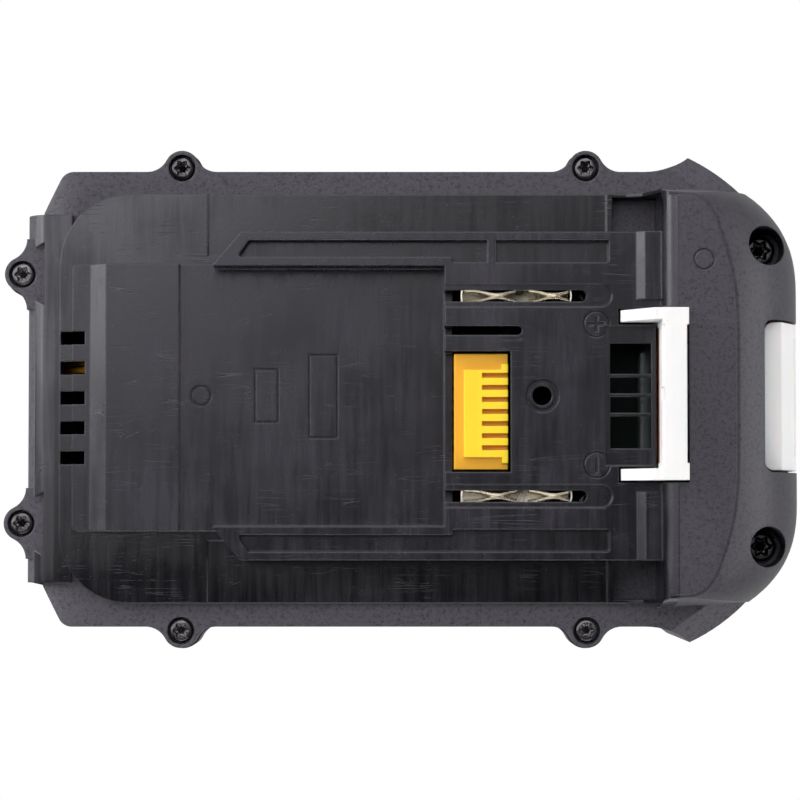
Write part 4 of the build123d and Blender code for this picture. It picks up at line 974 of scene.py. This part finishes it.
studio = {
    "floor": 3.0,
    "floorColour": (0.9, 0.9, 0.9, 1.0),
    "floorRoughness": 0.9,
    "floorMirror": 0.5,
    "skyTint": (1.0, 0.995, 1.025),
    "domeStops": [(0.0, 0.8), (0.45, 0.5), (0.75, 0.08), (0.9, 0.0)],
    "glow": 3.6,
    "glowAxis": (-0.45, 0.60, 0.66),
    "glowStops": [
        (0.5, 0.08), (0.62, 0.10), (0.675, 0.165), (0.715, 0.21), (0.735, 0.38), (0.752, 1.0), (0.84, 0.8),
        (0.95, 0.2),
    ],
    "glowEdge": {"From Min": -0.014, "From Max": 0.010},
    "lamps": (
        ("leftSoftbox", (-0.95, 0.42, 0.26), 0.8, 8.0),
        ("rightSoftbox", (0.98, 0.0, 0.26), 0.7, 3.2),
        ("nearSoftbox", (0.1, -1.0, 0.50), 0.8, 6.0),
    ),
    "target": (0.0, 0.0, 0.04),
}


def lookAt(source, target):
    # Turns that point a lamp's -Z from source to target
    away = [t - s for s, t in zip(source, target)]
    flat = math.hypot(away[0], away[1])
    return (math.atan2(flat, -away[2]), 0.0, math.atan2(away[1], away[0]) - math.pi / 2)


def studioFloor():
    # A pale floor that the camera sees as plain white and that shows dimmer in reflections
    half = studio["floor"] / 2
    mesh = bpy.data.meshes.new("studioFloor")
    corners = [(-half, -half, 0), (half, -half, 0), (half, half, 0), (-half, half, 0)]
    mesh.from_pydata(corners, [], [(0, 1, 2, 3)])
    floor = bpy.data.objects.new("studioFloor", mesh)
    bpy.context.scene.collection.objects.link(floor)
    paint = {"Base_Color": studio["floorColour"], "Roughness": studio["floorRoughness"]}
    material, tree, shader = startMaterial("studioFloor", **paint)
    glow = addNode(tree, "ShaderNodeEmission", (3, 3), {"Strength": 1.0})
    path = addNode(tree, "ShaderNodeLightPath", (2, -3))
    direct = mathNode(tree, "MAXIMUM", (3, -3), (path, "Is Camera Ray"), (path, "Is Transmission Ray"))
    wire(tree, mathNode(tree, "MAXIMUM", (3, 1), direct, studio["floorMirror"]), (glow, "Strength"))
    mix = addNode(tree, "ShaderNodeMixShader", (10, 0))
    wire(tree, mathNode(tree, "MAXIMUM", (4, -3), direct, (path, "Is Glossy Ray")), (mix, 0))
    wire(tree, (shader, 0), (mix, 1))
    wire(tree, (glow, 0), (mix, 2))
    wire(tree, (mix, 0), (tree.nodes["Material Output"], 0))
    mesh.materials.append(material)


def studioLamps():
    # Softboxes on the left, on the right and on the near side
    for name, place, size, power in studio["lamps"]:
        data = bpy.data.lights.new(name, "AREA")
        data.size = size
        data.energy = power
        lamp = bpy.data.objects.new(name, data)
        lamp.location = place
        lamp.rotation_euler = lookAt(place, studio["target"])
        bpy.context.scene.collection.objects.link(lamp)


def studioSky():
    # A sky that falls off towards its top, with a broad glow over the far side alone
    world = bpy.data.worlds.new("studioWorld")
    world.use_nodes = True
    tree = world.node_tree
    where = addNode(tree, "ShaderNodeTexCoord", (-4, 0))
    axes = addNode(tree, "ShaderNodeSeparateXYZ", (-3, 0))
    toward = addNode(tree, "ShaderNodeVectorMath", (-3, 3), {1: studio["glowAxis"]}, operation="DOT_PRODUCT")
    for node in (axes, toward):
        wire(tree, (where, "Generated"), (node, 0))
    dome = rampNode(tree, (-2, 0), (axes, 2), studio["domeStops"])
    glow = rampNode(tree, (-2, 3), (toward, "Value"), studio["glowStops"])
    edge = addNode(tree, "ShaderNodeMapRange", (-2, 6), studio["glowEdge"], interpolation_type="SMOOTHSTEP")
    wire(tree, (axes, 1), (edge, 0))
    bright = mathNode(tree, "MULTIPLY", (-1, 4), glow, studio["glow"])
    bright = mathNode(tree, "MULTIPLY", (-1, 3), bright, (edge, 0))
    tinted = addNode(tree, "ShaderNodeVectorMath", (1, 0), {0: studio["skyTint"]}, operation="SCALE")
    wire(tree, mathNode(tree, "MAXIMUM", (0, 0), dome, bright), (tinted, "Scale"))
    back = tree.nodes["Background"]
    wire(tree, (tinted, 0), (back, 0))
    back.inputs[1].default_value = 1.0
    bpy.context.scene.world = world


photographView()
studioFloor()
studioLamps()
studioSky()
bpy.context.scene.view_settings.view_transform = "Standard"
print("camera and studio set")
